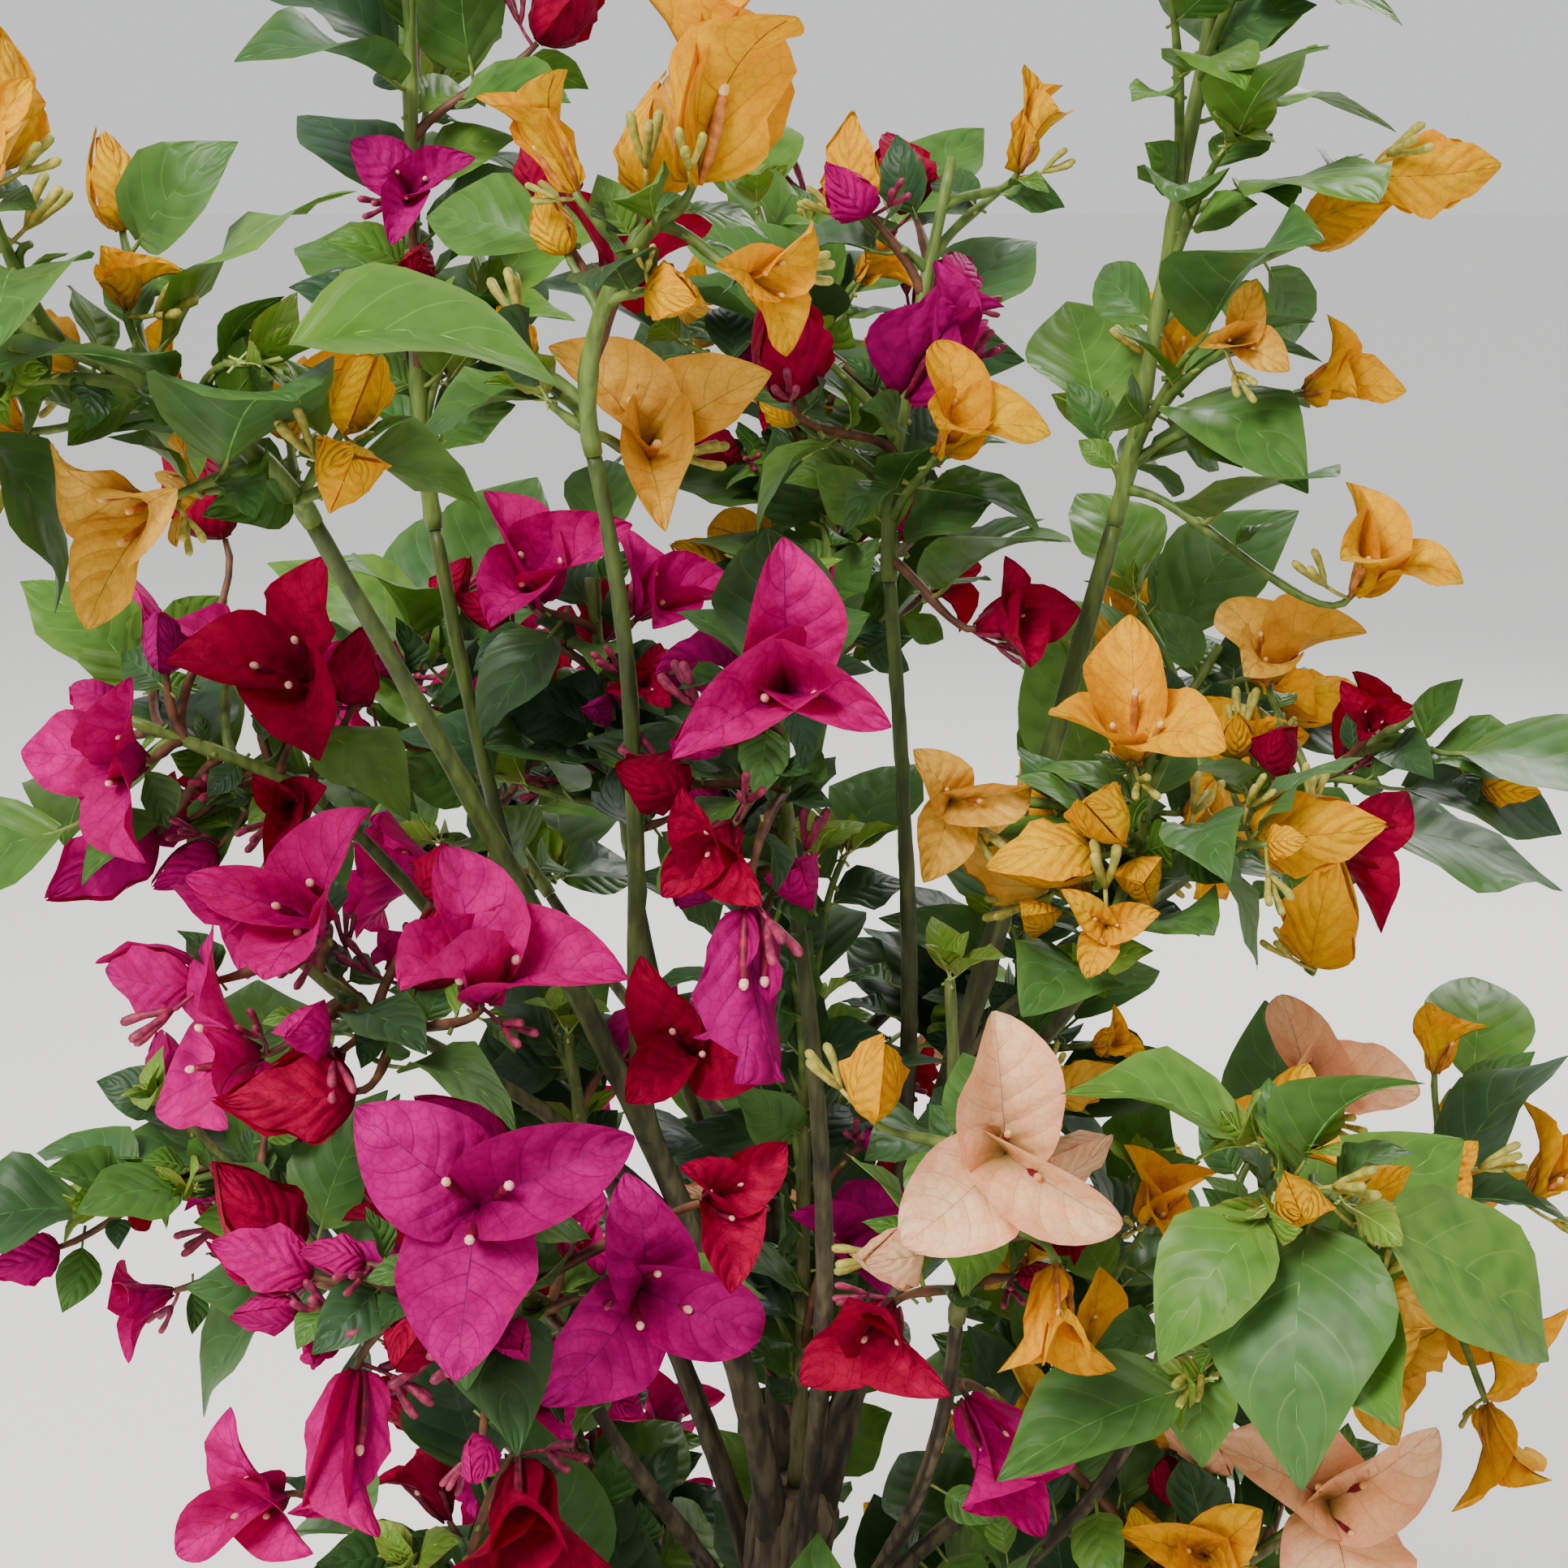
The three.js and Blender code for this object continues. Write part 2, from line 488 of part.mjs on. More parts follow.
// Points all over a blade, for the test that it stays in the spray's space.
function probesOf(blade) {
  const { neck, tip, left, right } = bladeCorners(blade);
  const mix = (a, b, share) => a.clone().lerp(b, share);
  const middle = mix(left, right, 0.5);
  return [
    tip, left, right, middle, mix(neck, left, 0.5), mix(neck, right, 0.5), mix(neck, middle, 0.5), mix(left, tip, 0.33),
    mix(left, tip, 0.67), mix(right, tip, 0.33), mix(right, tip, 0.67), mix(middle, tip, 0.5),
    mix(left, middle, 0.5), mix(right, middle, 0.5),
  ];
}

// True where no limb's bark comes within the margin of the blade.
function offTheLimbs(blade) {
  const { x, y, z } = bladeCorners(blade);
  const { foot, length, width, widest, fold } = blade;
  return beads.every(({ at, radius }) => {
    const from = at.clone().sub(foot);
    const room = radius + LIMB_MARGIN;
    const [a, b, c] = [from.dot(x), from.dot(y), from.dot(z)];
    if (a < -room || a > length + room || c < -room - 1 || c > room + fold * length) return true;
    const share = Math.min(1, Math.max(0, a / length));
    const wide = share < widest ? share / widest : (1 - share) / (1 - widest);
    return Math.abs(b) > (length * width * wide) / 2 + room;
  });
}

const edgesOf = ({ neck, left, right, tip }) => [[neck, tip], [neck, left], [left, tip], [neck, right], [right, tip]];

// A blade's two halves, in three layers that stand for its thickness.
const halvesOf = ({ neck, left, right, tip, z }) =>
  [-LAYER, 0, LAYER].flatMap((shift) => {
    const [n, l, r, t] = [neck, left, right, tip].map((corner) => corner.clone().addScaledVector(z, shift));
    return [[n, l, t], [n, t, r]];
  });

// Six times the volume of the pyramid between four points, with its sign.
const pyramid = (a, b, c, d) => b.clone().sub(a).dot(v(0, 0, 0).crossVectors(c.clone().sub(a), d.clone().sub(a)));

function pierces([a, b], [p, q, r]) {
  if (pyramid(a, p, q, r) * pyramid(b, p, q, r) >= 0) return false;
  const [s, t, u] = [pyramid(a, b, p, q), pyramid(a, b, q, r), pyramid(a, b, r, p)];
  return (s > 0 && t > 0 && u > 0) || (s < 0 && t < 0 && u < 0);
}

const crosses = (segments, halves) => segments.some((segment) => halves.some((half) => pierces(segment, half)));

// True where a blade neither leaves the spray's space nor touches a limb nor cuts what the spray has already.
function bladeFits(spray, blade) {
  const corners = bladeCorners(blade);
  return (
    offTheLimbs(blade) && probesOf(blade).every((point) => inOwnSpace(spray, point)) &&
    !crosses(edgesOf(corners), spray.halves) && !crosses(spray.segments, halvesOf(corners))
  );
}

function keep(spray, blade) {
  const corners = bladeCorners(blade);
  spray.segments.push(...edgesOf(corners));
  spray.halves.push(...halvesOf(corners));
}

// A point on a spray's stem, straight from node to node as its bar is.
function onStem(spray, share) {
  const place = share * (spray.nodes.length - 1);
  const i = Math.min(Math.floor(place), spray.nodes.length - 2);
  return spray.nodes[i].at.clone().lerp(spray.nodes[i + 1].at, place - i);
}

// A twig from the spray's stem to its end, leaving along the stem and arriving along what it carries.
// back says how far down the stem it leaves, from the point of the stem that is nearest.
const LOOKS = 24;
function twigNodes(spray, end, back) {
  let nearest = 0;
  for (let i = 1; i <= LOOKS; i++) {
    if (onStem(spray, i / LOOKS).distanceTo(end.at) < onStem(spray, nearest).distanceTo(end.at)) nearest = i / LOOKS;
  }
  const share = Math.max(0.06, nearest - back);
  const start = onStem(spray, share);
  const span = start.distanceTo(end.at);
  const curve = new THREE.CubicBezierCurve3(
    start, start.clone().lerp(end.at, 0.2).addScaledVector(spray.curve.getTangent(share), span * 0.14),
    end.at.clone().addScaledVector(end.face, -span * 0.28), end.at,
  );
  return nodesOf(curve, Math.max(2, Math.round(curve.getLength() / INTERNODE)));
}

const pairsOf = (nodes) => nodes.slice(1).map((node, i) => [nodes[i].at, node.at]);

function twigFits(spray, nodes) {
  const segments = pairsOf(nodes);
  const points = segments.slice(1).flatMap(([a, b]) => [a, a.clone().lerp(b, 0.5), b]);
  points.push(segments[0][0].clone().lerp(segments[0][1], 0.6));
  return points.every((point) => inOwnSpace(spray, point) && clearOfLimbs(point)) && !crosses(segments.slice(1), spray.halves);
}

// A twig with its leaves and what it carries, as one closed shape. Each bract of a blossom springs from an
// edge of the twig's last ring, and the three meet in the throat. In a lantern they meet along their edges
// too, and at its tip.
function twigSolid(nodes, end, turn, blades, leaves) {
  const { corners, faces, last } = openBar(nodes, twigRadius, TWIG_SIDES, turn, leaves);
  const ring = [last, last + 1, last + 2];
  const { at: foot, along, sides } = nodes.at(-1);
  const add = (point) => corners.push(point) - 1;
  const onAxis = (far) => foot.clone().addScaledVector(along, far);
  if (end.kind === "leaf") {
    faces.push(...bladeOn(corners, ring, blades[0]));
    return solid({ corners, faces });
  }
  if (end.kind === "lantern") {
    const swell = (angle, far) => add(onAxis(end.size * BRACT_WIDEST).addScaledVector(around(sides, angle), far * end.size));
    const apex = add(onAxis(end.size));
    const keels = [0, 1, 2].map((i) => swell(turn + ((i * 2 - 1) * Math.PI) / 3, LANTERN_KEEL));
    const flanks = [0, 1, 2].map((i) => swell(turn + (i * 2 * Math.PI) / 3, LANTERN_FLANK));
    for (let i = 0; i < 3; i++) {
      const j = (i + 1) % 3;
      faces.push([ring[i], ring[j], flanks[i]], [ring[j], keels[j], flanks[i]], [ring[i], flanks[i], keels[i]]);
      faces.push([flanks[i], keels[j], apex], [keels[i], flanks[i], apex]);
    }
    return solid({ corners, faces });
  }
  const throat = add(onAxis(THROAT));
  blades.forEach((blade, i) => {
    const { left, right, tip } = bladeCorners(blade);
    const [a, b] = [ring[i], ring[(i + 1) % 3]];
    const [l, r, t] = [add(left), add(right), add(tip)];
    faces.push([a, b, t], [b, l, t], [a, t, r], [throat, a, r], [throat, r, t], [throat, t, l], [throat, l, b]);
  });
  return solid({ corners, faces });
}

const twigRadius = (share) => TWIG_RADIUS * (0.6 + 0.4 * share);

// The ends of the twigs that grow by the rule go round the stem by the golden angle. Each has its own
// dice, as has each named one.
function ruledEnd(spray, i, tries, roll) {
  const share = Math.min(1, 0.1 + (i + 0.6 * roll()) / spray.twigs);
  const along = spray.curve.getTangent(share);
  const angle = (i + 0.38 * tries) * GOLDEN_ANGLE + 0.8 * roll();
  const out = around(squareTo(along, UP), angle);
  const face = out.clone().addScaledVector(along, 0.5).addScaledVector(UP, 0.3).normalize();
  const size = (28 + 12 * roll()) * (1 - 0.4 * (tries / RULED_TRIES));
  const far = spray.reach * (0.6 + 0.4 * roll()) * (1 - 0.5 * (tries / RULED_TRIES)) - size * 0.5;
  const at = onStem(spray, share).addScaledVector(out, far);
  const blooms = roll() < spray.bloom;
  if (!blooms) return { kind: "leaf", at, face, size: size * 1.75 };
  if (roll() < 0.25) return { kind: "lantern", at, face, size: size * 0.9, open: LANTERN_OPEN };
  return { kind: "blossom", at, face, size, open: 34 + 26 * roll() };
}

// Leaves at a bar's nodes, one at each where it fits, from side to side of the bar.
function leavesAt(spray, nodes, count, turn, roll) {
  const leaves = new Map();
  for (let i = 1; i + 1 < nodes.length; i++) {
    const { at, along, sides } = nodes[i];
    for (let tries = 0; tries < LEAF_TRIES; tries++) {
      const side = (i + tries + Math.floor(tries / count)) % count;
      const out = around(sides, turn + (side * 2 * Math.PI) / count);
      const heading = out.clone().addScaledVector(along, 0.3 + 0.3 * roll()).addScaledVector(UP, 0.3 * roll() - 0.1);
      const face = UP.clone().addScaledVector(out, 0.45).add(v(0, -0.2, 0));
      const size = LEAF_LENGTH * (0.78 + 0.32 * roll()) * (1 - 0.45 * (tries / LEAF_TRIES));
      const blade = leafBlade(at, heading, face, size);
      if (!bladeFits(spray, blade)) continue;
      keep(spray, blade);
      leaves.set(i, { side, blade });
      break;
    }
  }
  spray.tally.leaf += leaves.size;
  return leaves;
}

// Tries to grow one twig with what it carries and the leaves along it. Gives nothing if it would leave the
// spray's space, touch a limb or cut another twig or leaf.
function growTwig(spray, end, roll, back) {
  const turn = roll() * 2 * Math.PI;
  const toward = { ...end, face: end.face.clone().normalize() };
  const nodes = twigNodes(spray, toward, back);
  const blades = end.kind === "leaf" ? [leafBlade(end.at, toward.face, LEAF_FACE, end.size)] : bractBlades(toward, turn);
  if (!twigFits(spray, nodes) || !blades.every((blade) => bladeFits(spray, blade))) return null;
  spray.segments.push(...pairsOf(nodes));
  blades.forEach((blade) => keep(spray, blade));
  spray.tally[end.kind] += 1;
  return twigSolid(nodes, toward, turn, blades, leavesAt(spray, nodes, TWIG_SIDES, turn, roll));
}

// Grows one spray and joins its stem and twigs into one solid.
function spraySolid(name, seed) {
  const spray = SPRAYS[name];
  Object.assign(spray, { segments: pairsOf(spray.nodes), halves: [], tally: { blossom: 0, lantern: 0, leaf: 0, missing: [] } });
  const pieces = [];
  spray.named.forEach((end, i) => {
    const roll = dice(seed + i);
    let grown = null;
    for (let tries = 0; tries < NAMED_TRIES && !grown; tries++) {
      const size = end.size * (1 - 0.06 * Math.floor(tries / 3));
      grown = growTwig(spray, { ...end, size }, roll, 0.1 + 0.15 * (tries % 3));
    }
    if (grown) pieces.push(grown);
    else spray.tally.missing.push(i);
  });
  for (let i = 0; i < spray.twigs; i++) {
    const roll = dice(seed + 50 + i);
    let grown = null;
    for (let tries = 0; tries < RULED_TRIES && !grown; tries++) {
      grown = growTwig(spray, ruledEnd(spray, i, tries, roll), roll, 0.2);
    }
    if (grown) pieces.push(grown);
  }
  spray.tally.twigs = pieces.length;
  const stemRadius = (share) => spray.radii[0] + (spray.radii[1] - spray.radii[0]) * share;
  const leaves = leavesAt(spray, spray.nodes, STEM_SIDES, 0, dice(seed + 99));
  pieces.push(bar(spray.nodes, stemRadius, STEM_SIDES, 0, leaves));
  const joined = wasm.Manifold.union(pieces);
  return spray.at < 1 ? joined.subtract(limbSolid("trunk", CLEARANCE)) : joined;
}

const group = new THREE.Group();
const MATERIALS = Object.fromEntries(
  Object.entries(COLOURS).map(([name, color]) => [
    name, new THREE.MeshStandardMaterial({ color, roughness: name === "bark" ? 0.85 : 0.55, metalness: 0 }),
  ]),
);

function addNode(name, manifold, material) {
  const mesh = new THREE.Mesh(geometryOf(manifold), MATERIALS[material]);
  mesh.name = name;
  group.add(mesh);
}

addNode("trunk", limbSolid("trunk"), "bark");
for (const [name, { from }] of Object.entries(BOUGHS)) {
  addNode(`bough_${name}`, limbSolid(name).subtract(limbSolid(from, CLEARANCE)), "bark");
}
Object.keys(SPRAYS).forEach((name, i) => {
  addNode(`foliage_${name}`, spraySolid(name, FIRST_SEED + 100 * i), SPRAYS[name].hue);
});

export default group;
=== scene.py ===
"""A bougainvillea bush in leaf and blossom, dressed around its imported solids.

Limbs, sprays, leaves and blossoms stand where the solids' own rule puts them: the same curves, the same
dice and the same tests, in millimetres. Each place gets a thin wavy leaf or a papery bract with raised
veins. Finer leaves, growing tips and young blossoms then fill the room that the solids leave open.
"""

import json
import logging
import math
from dataclasses import dataclass, replace
from enum import Enum
from itertools import product

import bpy
import numpy as np
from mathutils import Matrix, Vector

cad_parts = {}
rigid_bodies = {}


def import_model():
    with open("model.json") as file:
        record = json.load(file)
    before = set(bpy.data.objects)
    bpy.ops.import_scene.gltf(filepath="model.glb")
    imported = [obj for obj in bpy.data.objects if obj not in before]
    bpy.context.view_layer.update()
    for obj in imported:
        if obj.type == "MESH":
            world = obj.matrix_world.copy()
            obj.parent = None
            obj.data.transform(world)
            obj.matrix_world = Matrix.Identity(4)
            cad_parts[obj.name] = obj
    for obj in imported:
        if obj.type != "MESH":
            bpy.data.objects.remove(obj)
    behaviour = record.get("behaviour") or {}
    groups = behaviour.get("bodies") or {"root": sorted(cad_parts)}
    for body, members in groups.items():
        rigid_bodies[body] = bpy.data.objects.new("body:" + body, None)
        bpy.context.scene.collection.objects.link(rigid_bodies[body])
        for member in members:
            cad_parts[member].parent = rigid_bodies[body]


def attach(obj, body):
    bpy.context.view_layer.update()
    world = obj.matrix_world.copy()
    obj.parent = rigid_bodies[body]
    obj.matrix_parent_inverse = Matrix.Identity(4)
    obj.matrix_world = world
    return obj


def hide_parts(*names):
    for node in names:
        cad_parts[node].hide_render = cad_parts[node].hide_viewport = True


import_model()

LOG = logging.getLogger("bougainvillea")
Array = np.ndarray
Point = tuple[float, float, float]

BODY = "root"
MM = 0.001

# The solids' driving dimensions, in millimetres and as shares.
CLEARANCE = 0.3
TRUNK_HEIGHT = 196.0
TRUNK_FOOT_RADIUS = 24.0
TRUNK_WAIST_RADIUS = 13.5
TRUNK_FORK_RADIUS = 12.5
TRUNK_LEAN = 5.0
FLARE_HEIGHT = 46.0
FLARE_LOBES = 5
FLARE_DEPTH = 0.2
LIMB_LEAN = 1.5
ON_TRUNK = 0.6
STEM_SIDES = 4
TWIG_SIDES = 3
TWIG_RADIUS = 1.5
INTERNODE = 27.0
LEAF_LENGTH = 60.0
LEAF_WIDTH = 0.68
LEAF_WIDEST = 0.4
LEAF_FOLD = 0.12
NECK = 3.5
LAYER = 1.3
BRACT_WIDTH = 0.76
BRACT_WIDEST = 0.42
BRACT_FOLD = 0.06
BRACT_ROOM = 3.2
LANTERN_OPEN = 20.0
LANTERN_KEEL = 0.36
LANTERN_FLANK = 0.24
SPACE_MARGIN = 1.2
LIMB_MARGIN = 1.2
GOLDEN_ANGLE = 2.399963
LIMB_HANDLE = 0.5
STEM_HANDLE = 0.4
TWIG_FIRST = 0.06
TWIG_REACH = 0.2
TWIG_LEAN = 0.14
TWIG_ARRIVAL = 0.28
TWIG_ROOT = 0.6
TRUNK_STEM_RADII = (3.2, 1.5)
BOUGH_STEM_RADII = (2.4, 1.4)
NAMED_TRIES = 12
RULED_TRIES = 12
LEAF_TRIES = 6
FIRST_SEED = 27
SEED_STEP = 100
RULED_SEED = 50
STEM_SEED = 99

# The rule's chances. A pair is the least value and what the dice may add to it.
LEAF_LEAN = (0.3, 0.3)
LEAF_LIFT = (-0.1, 0.3)
LEAF_OUT = 0.45
LEAF_SIZE = (0.78, 0.32)
LEAF_SHRINK = 0.45
TWIG_PLACE = 0.6
TWIG_START = 0.1
TWIG_TURN = 0.38
TWIG_SPREAD = 0.8
TWIG_FORWARD = 0.5
TWIG_UP = 0.3
TWIG_SPAN = (0.6, 0.4)
TWIG_SHRINK = 0.5
TWIG_BACK = 0.2
BLOSSOM_SIZE = (28, 12)
BLOSSOM_SHRINK = 0.4
RULED_OPENING = 34
OPENING_MORE = 26
CLOSED_SHARE = 0.9
CLOSED_CHANCE = 0.25
LEAF_FOR_BLOSSOM = 1.75
NAMED_ROUND = 3
NAMED_SHRINK = 0.06
NAMED_BACK = 0.1
NAMED_BACK_STEP = 0.15

# How finely the curves are followed.
BEADS = 64
LOOKS = 24
CHORDS = 200
TANGENT_STEP = 1e-4

NEXT = np.array((1, 2, 0))
LAST = np.array((2, 0, 1))
UP = np.array((0.0, 0.0, 1.0))
SPARE_SIDE = np.array((0.3, -0.8, 0.5))
LEAF_FACE = np.array((0.1, -0.45, 1.0))
LEAF_FRONT = np.array((0, -0.2, 0))


class Kind(Enum):
    """What a twig carries at its end."""

    BLOSSOM = "blossom"
    LANTERN = "lantern"
    LEAF = "leaf"


class Shade(Enum):
    """The colour of a blossom's bracts."""

    MAGENTA = "magenta"
    VIOLET = "violet"
    CRIMSON = "crimson"
    GOLD = "gold"
    AMBER = "amber"
    PEACH = "peach"


class Green(Enum):
    """The colour of a leaf, by its age and place; the deep green dealt to the inner sprays is partly painted
    shade.
    """

    DEEP = "deep"
    MIDDLE = "middle"
    BRIGHT = "bright"
    YOUNG = "young"


M, V, C, G, A, P = Shade
REDS = (M, C, M, V, M, C)
GOLDS = (G, A, G, G)
PEACHES = (P, G, P, C)
MIXED = (M, G, C, A)
OUTER = (Green.MIDDLE, Green.BRIGHT, Green.MIDDLE, Green.DEEP)
# The inner sprays take mostly the deep green: painted shade of the crown's interior.
INNER_SHADED_GREENS = (Green.DEEP, Green.MIDDLE, Green.DEEP)
FRONT = (Green.BRIGHT, Green.MIDDLE)


@dataclass(frozen=True)
class End:
    """What a twig carries at its end, where it sits and the way it faces."""

    kind: Kind
    at: Array
    face: Array
    size: float
    open: float = 0.0
    shade: Shade | None = None
    green: Green | None = None


def blossom(x: float, y: float, z: float, face: Point, size: float, spread: float, shade: Shade) -> End:
    """A blossom whose three bracts, each size long, stand spread degrees from its axis."""
    return End(Kind.BLOSSOM, np.array((x, y, z), float), np.array(face, float), size, spread, shade)


def lantern(x: float, y: float, z: float, face: Point, size: float, shade: Shade) -> End:
    """A blossom that is still closed."""
    return End(Kind.LANTERN, np.array((x, y, z), float), np.array(face, float), size, LANTERN_OPEN, shade)


def leaf(x: float, y: float, z: float, face: Point, size: float, green: Green = Green.BRIGHT) -> End:
    """A leaf at a twig's end."""
    return End(Kind.LEAF, np.array((x, y, z), float), np.array(face, float), size, 0.0, None, green)


@dataclass(frozen=True)
class Bough:
    """A limb that springs from a share of its parent's length, heads for one point and ends at its tip."""

    parent: str
    at: float
    via: Point
    tip: Point
    radii: tuple[float, float]


BOUGHS = {
    "left": Bough("trunk", 0.95, (-46, -66, 352), (-104, -128, 486), (5.4, 2.6)),
    "right": Bough("trunk", 0.95, (54, 4, 330), (88, 2, 470), (5.8, 3)),
    "back": Bough("trunk", 0.94, (-12, 58, 300), (12, 92, 404), (5.2, 2.8)),
    "leader": Bough("trunk", 0.84, (-70, 24, 300), (-96, 26, 466), (4.2, 2.4)),
    "centre": Bough("trunk", 0.8, (18, -66, 276), (2, -60, 388), (4.2, 2.3)),
    "magenta_low": Bough("trunk", 0.74, (-44, -58, 222), (-56, -94, 284), (3.8, 2.2)),
    "peach": Bough("trunk", 0.68, (40, -66, 206), (42, -104, 288), (3.8, 2.2)),
    "leafy": Bough("trunk", 0.62, (80, -66, 196), (92, -104, 276), (3.8, 2.2)),
    "east": Bough("trunk", 0.72, (84, -2, 208), (136, -8, 262), (3.8, 2.2)),
    "west_low": Bough("trunk", 0.66, (-66, -8, 196), (-116, -22, 262), (3.8, 2.2)),
    "crest": Bough("left", 0.5, (-30, -80, 424), (-44, -96, 498), (3.4, 2.2)),
    "magenta_high": Bough("left", 0.36, (-66, -72, 336), (-88, -92, 356), (3, 2.1)),
    "west": Bough("leader", 0.5, (-96, 4, 366), (-122, -16, 398), (3, 2.1)),
    "top": Bough("right", 0.34, (34, -6, 380), (28, -6, 456), (3.4, 2.2)),
    "gold": Bough("right", 0.44, (74, -30, 336), (84, -60, 374), (3.2, 2.1)),
    "outer": Bough("right", 0.56, (96, 12, 356), (124, 8, 384), (3, 2.1)),
    "inner": Bough("back", 0.3, (-36, 44, 300), (-44, 40, 372), (3.2, 2.2)),
    "heart_left": Bough("left", 0.22, (-40, -38, 276), (-50, -46, 300), (2.8, 2)),
    "heart_right": Bough("right", 0.22, (46, 16, 272), (60, 24, 298), (2.8, 2)),
    "heart_front": Bough("centre", 0.34, (34, -46, 276), (42, -54, 304), (2.8, 2)),
    "back_west": Bough("back", 0.44, (-44, 84, 304), (-72, 98, 344), (3.1, 2.1)),
    "back_east": Bough("back", 0.5, (46, 84, 322), (82, 92, 356), (3.1, 2.1)),
}


@dataclass(frozen=True)
class Plan:
    """A spray as the source lays it out: what it grows from, its stem, and what its twigs carry."""

    parent: str
    via: Point
    end: Point
    reach: float
    twigs: int
    bloom: float
    shades: tuple[Shade, ...]
    greens: tuple[Green, ...] = OUTER
    named: tuple[End, ...] = ()
    at: float = 1.0


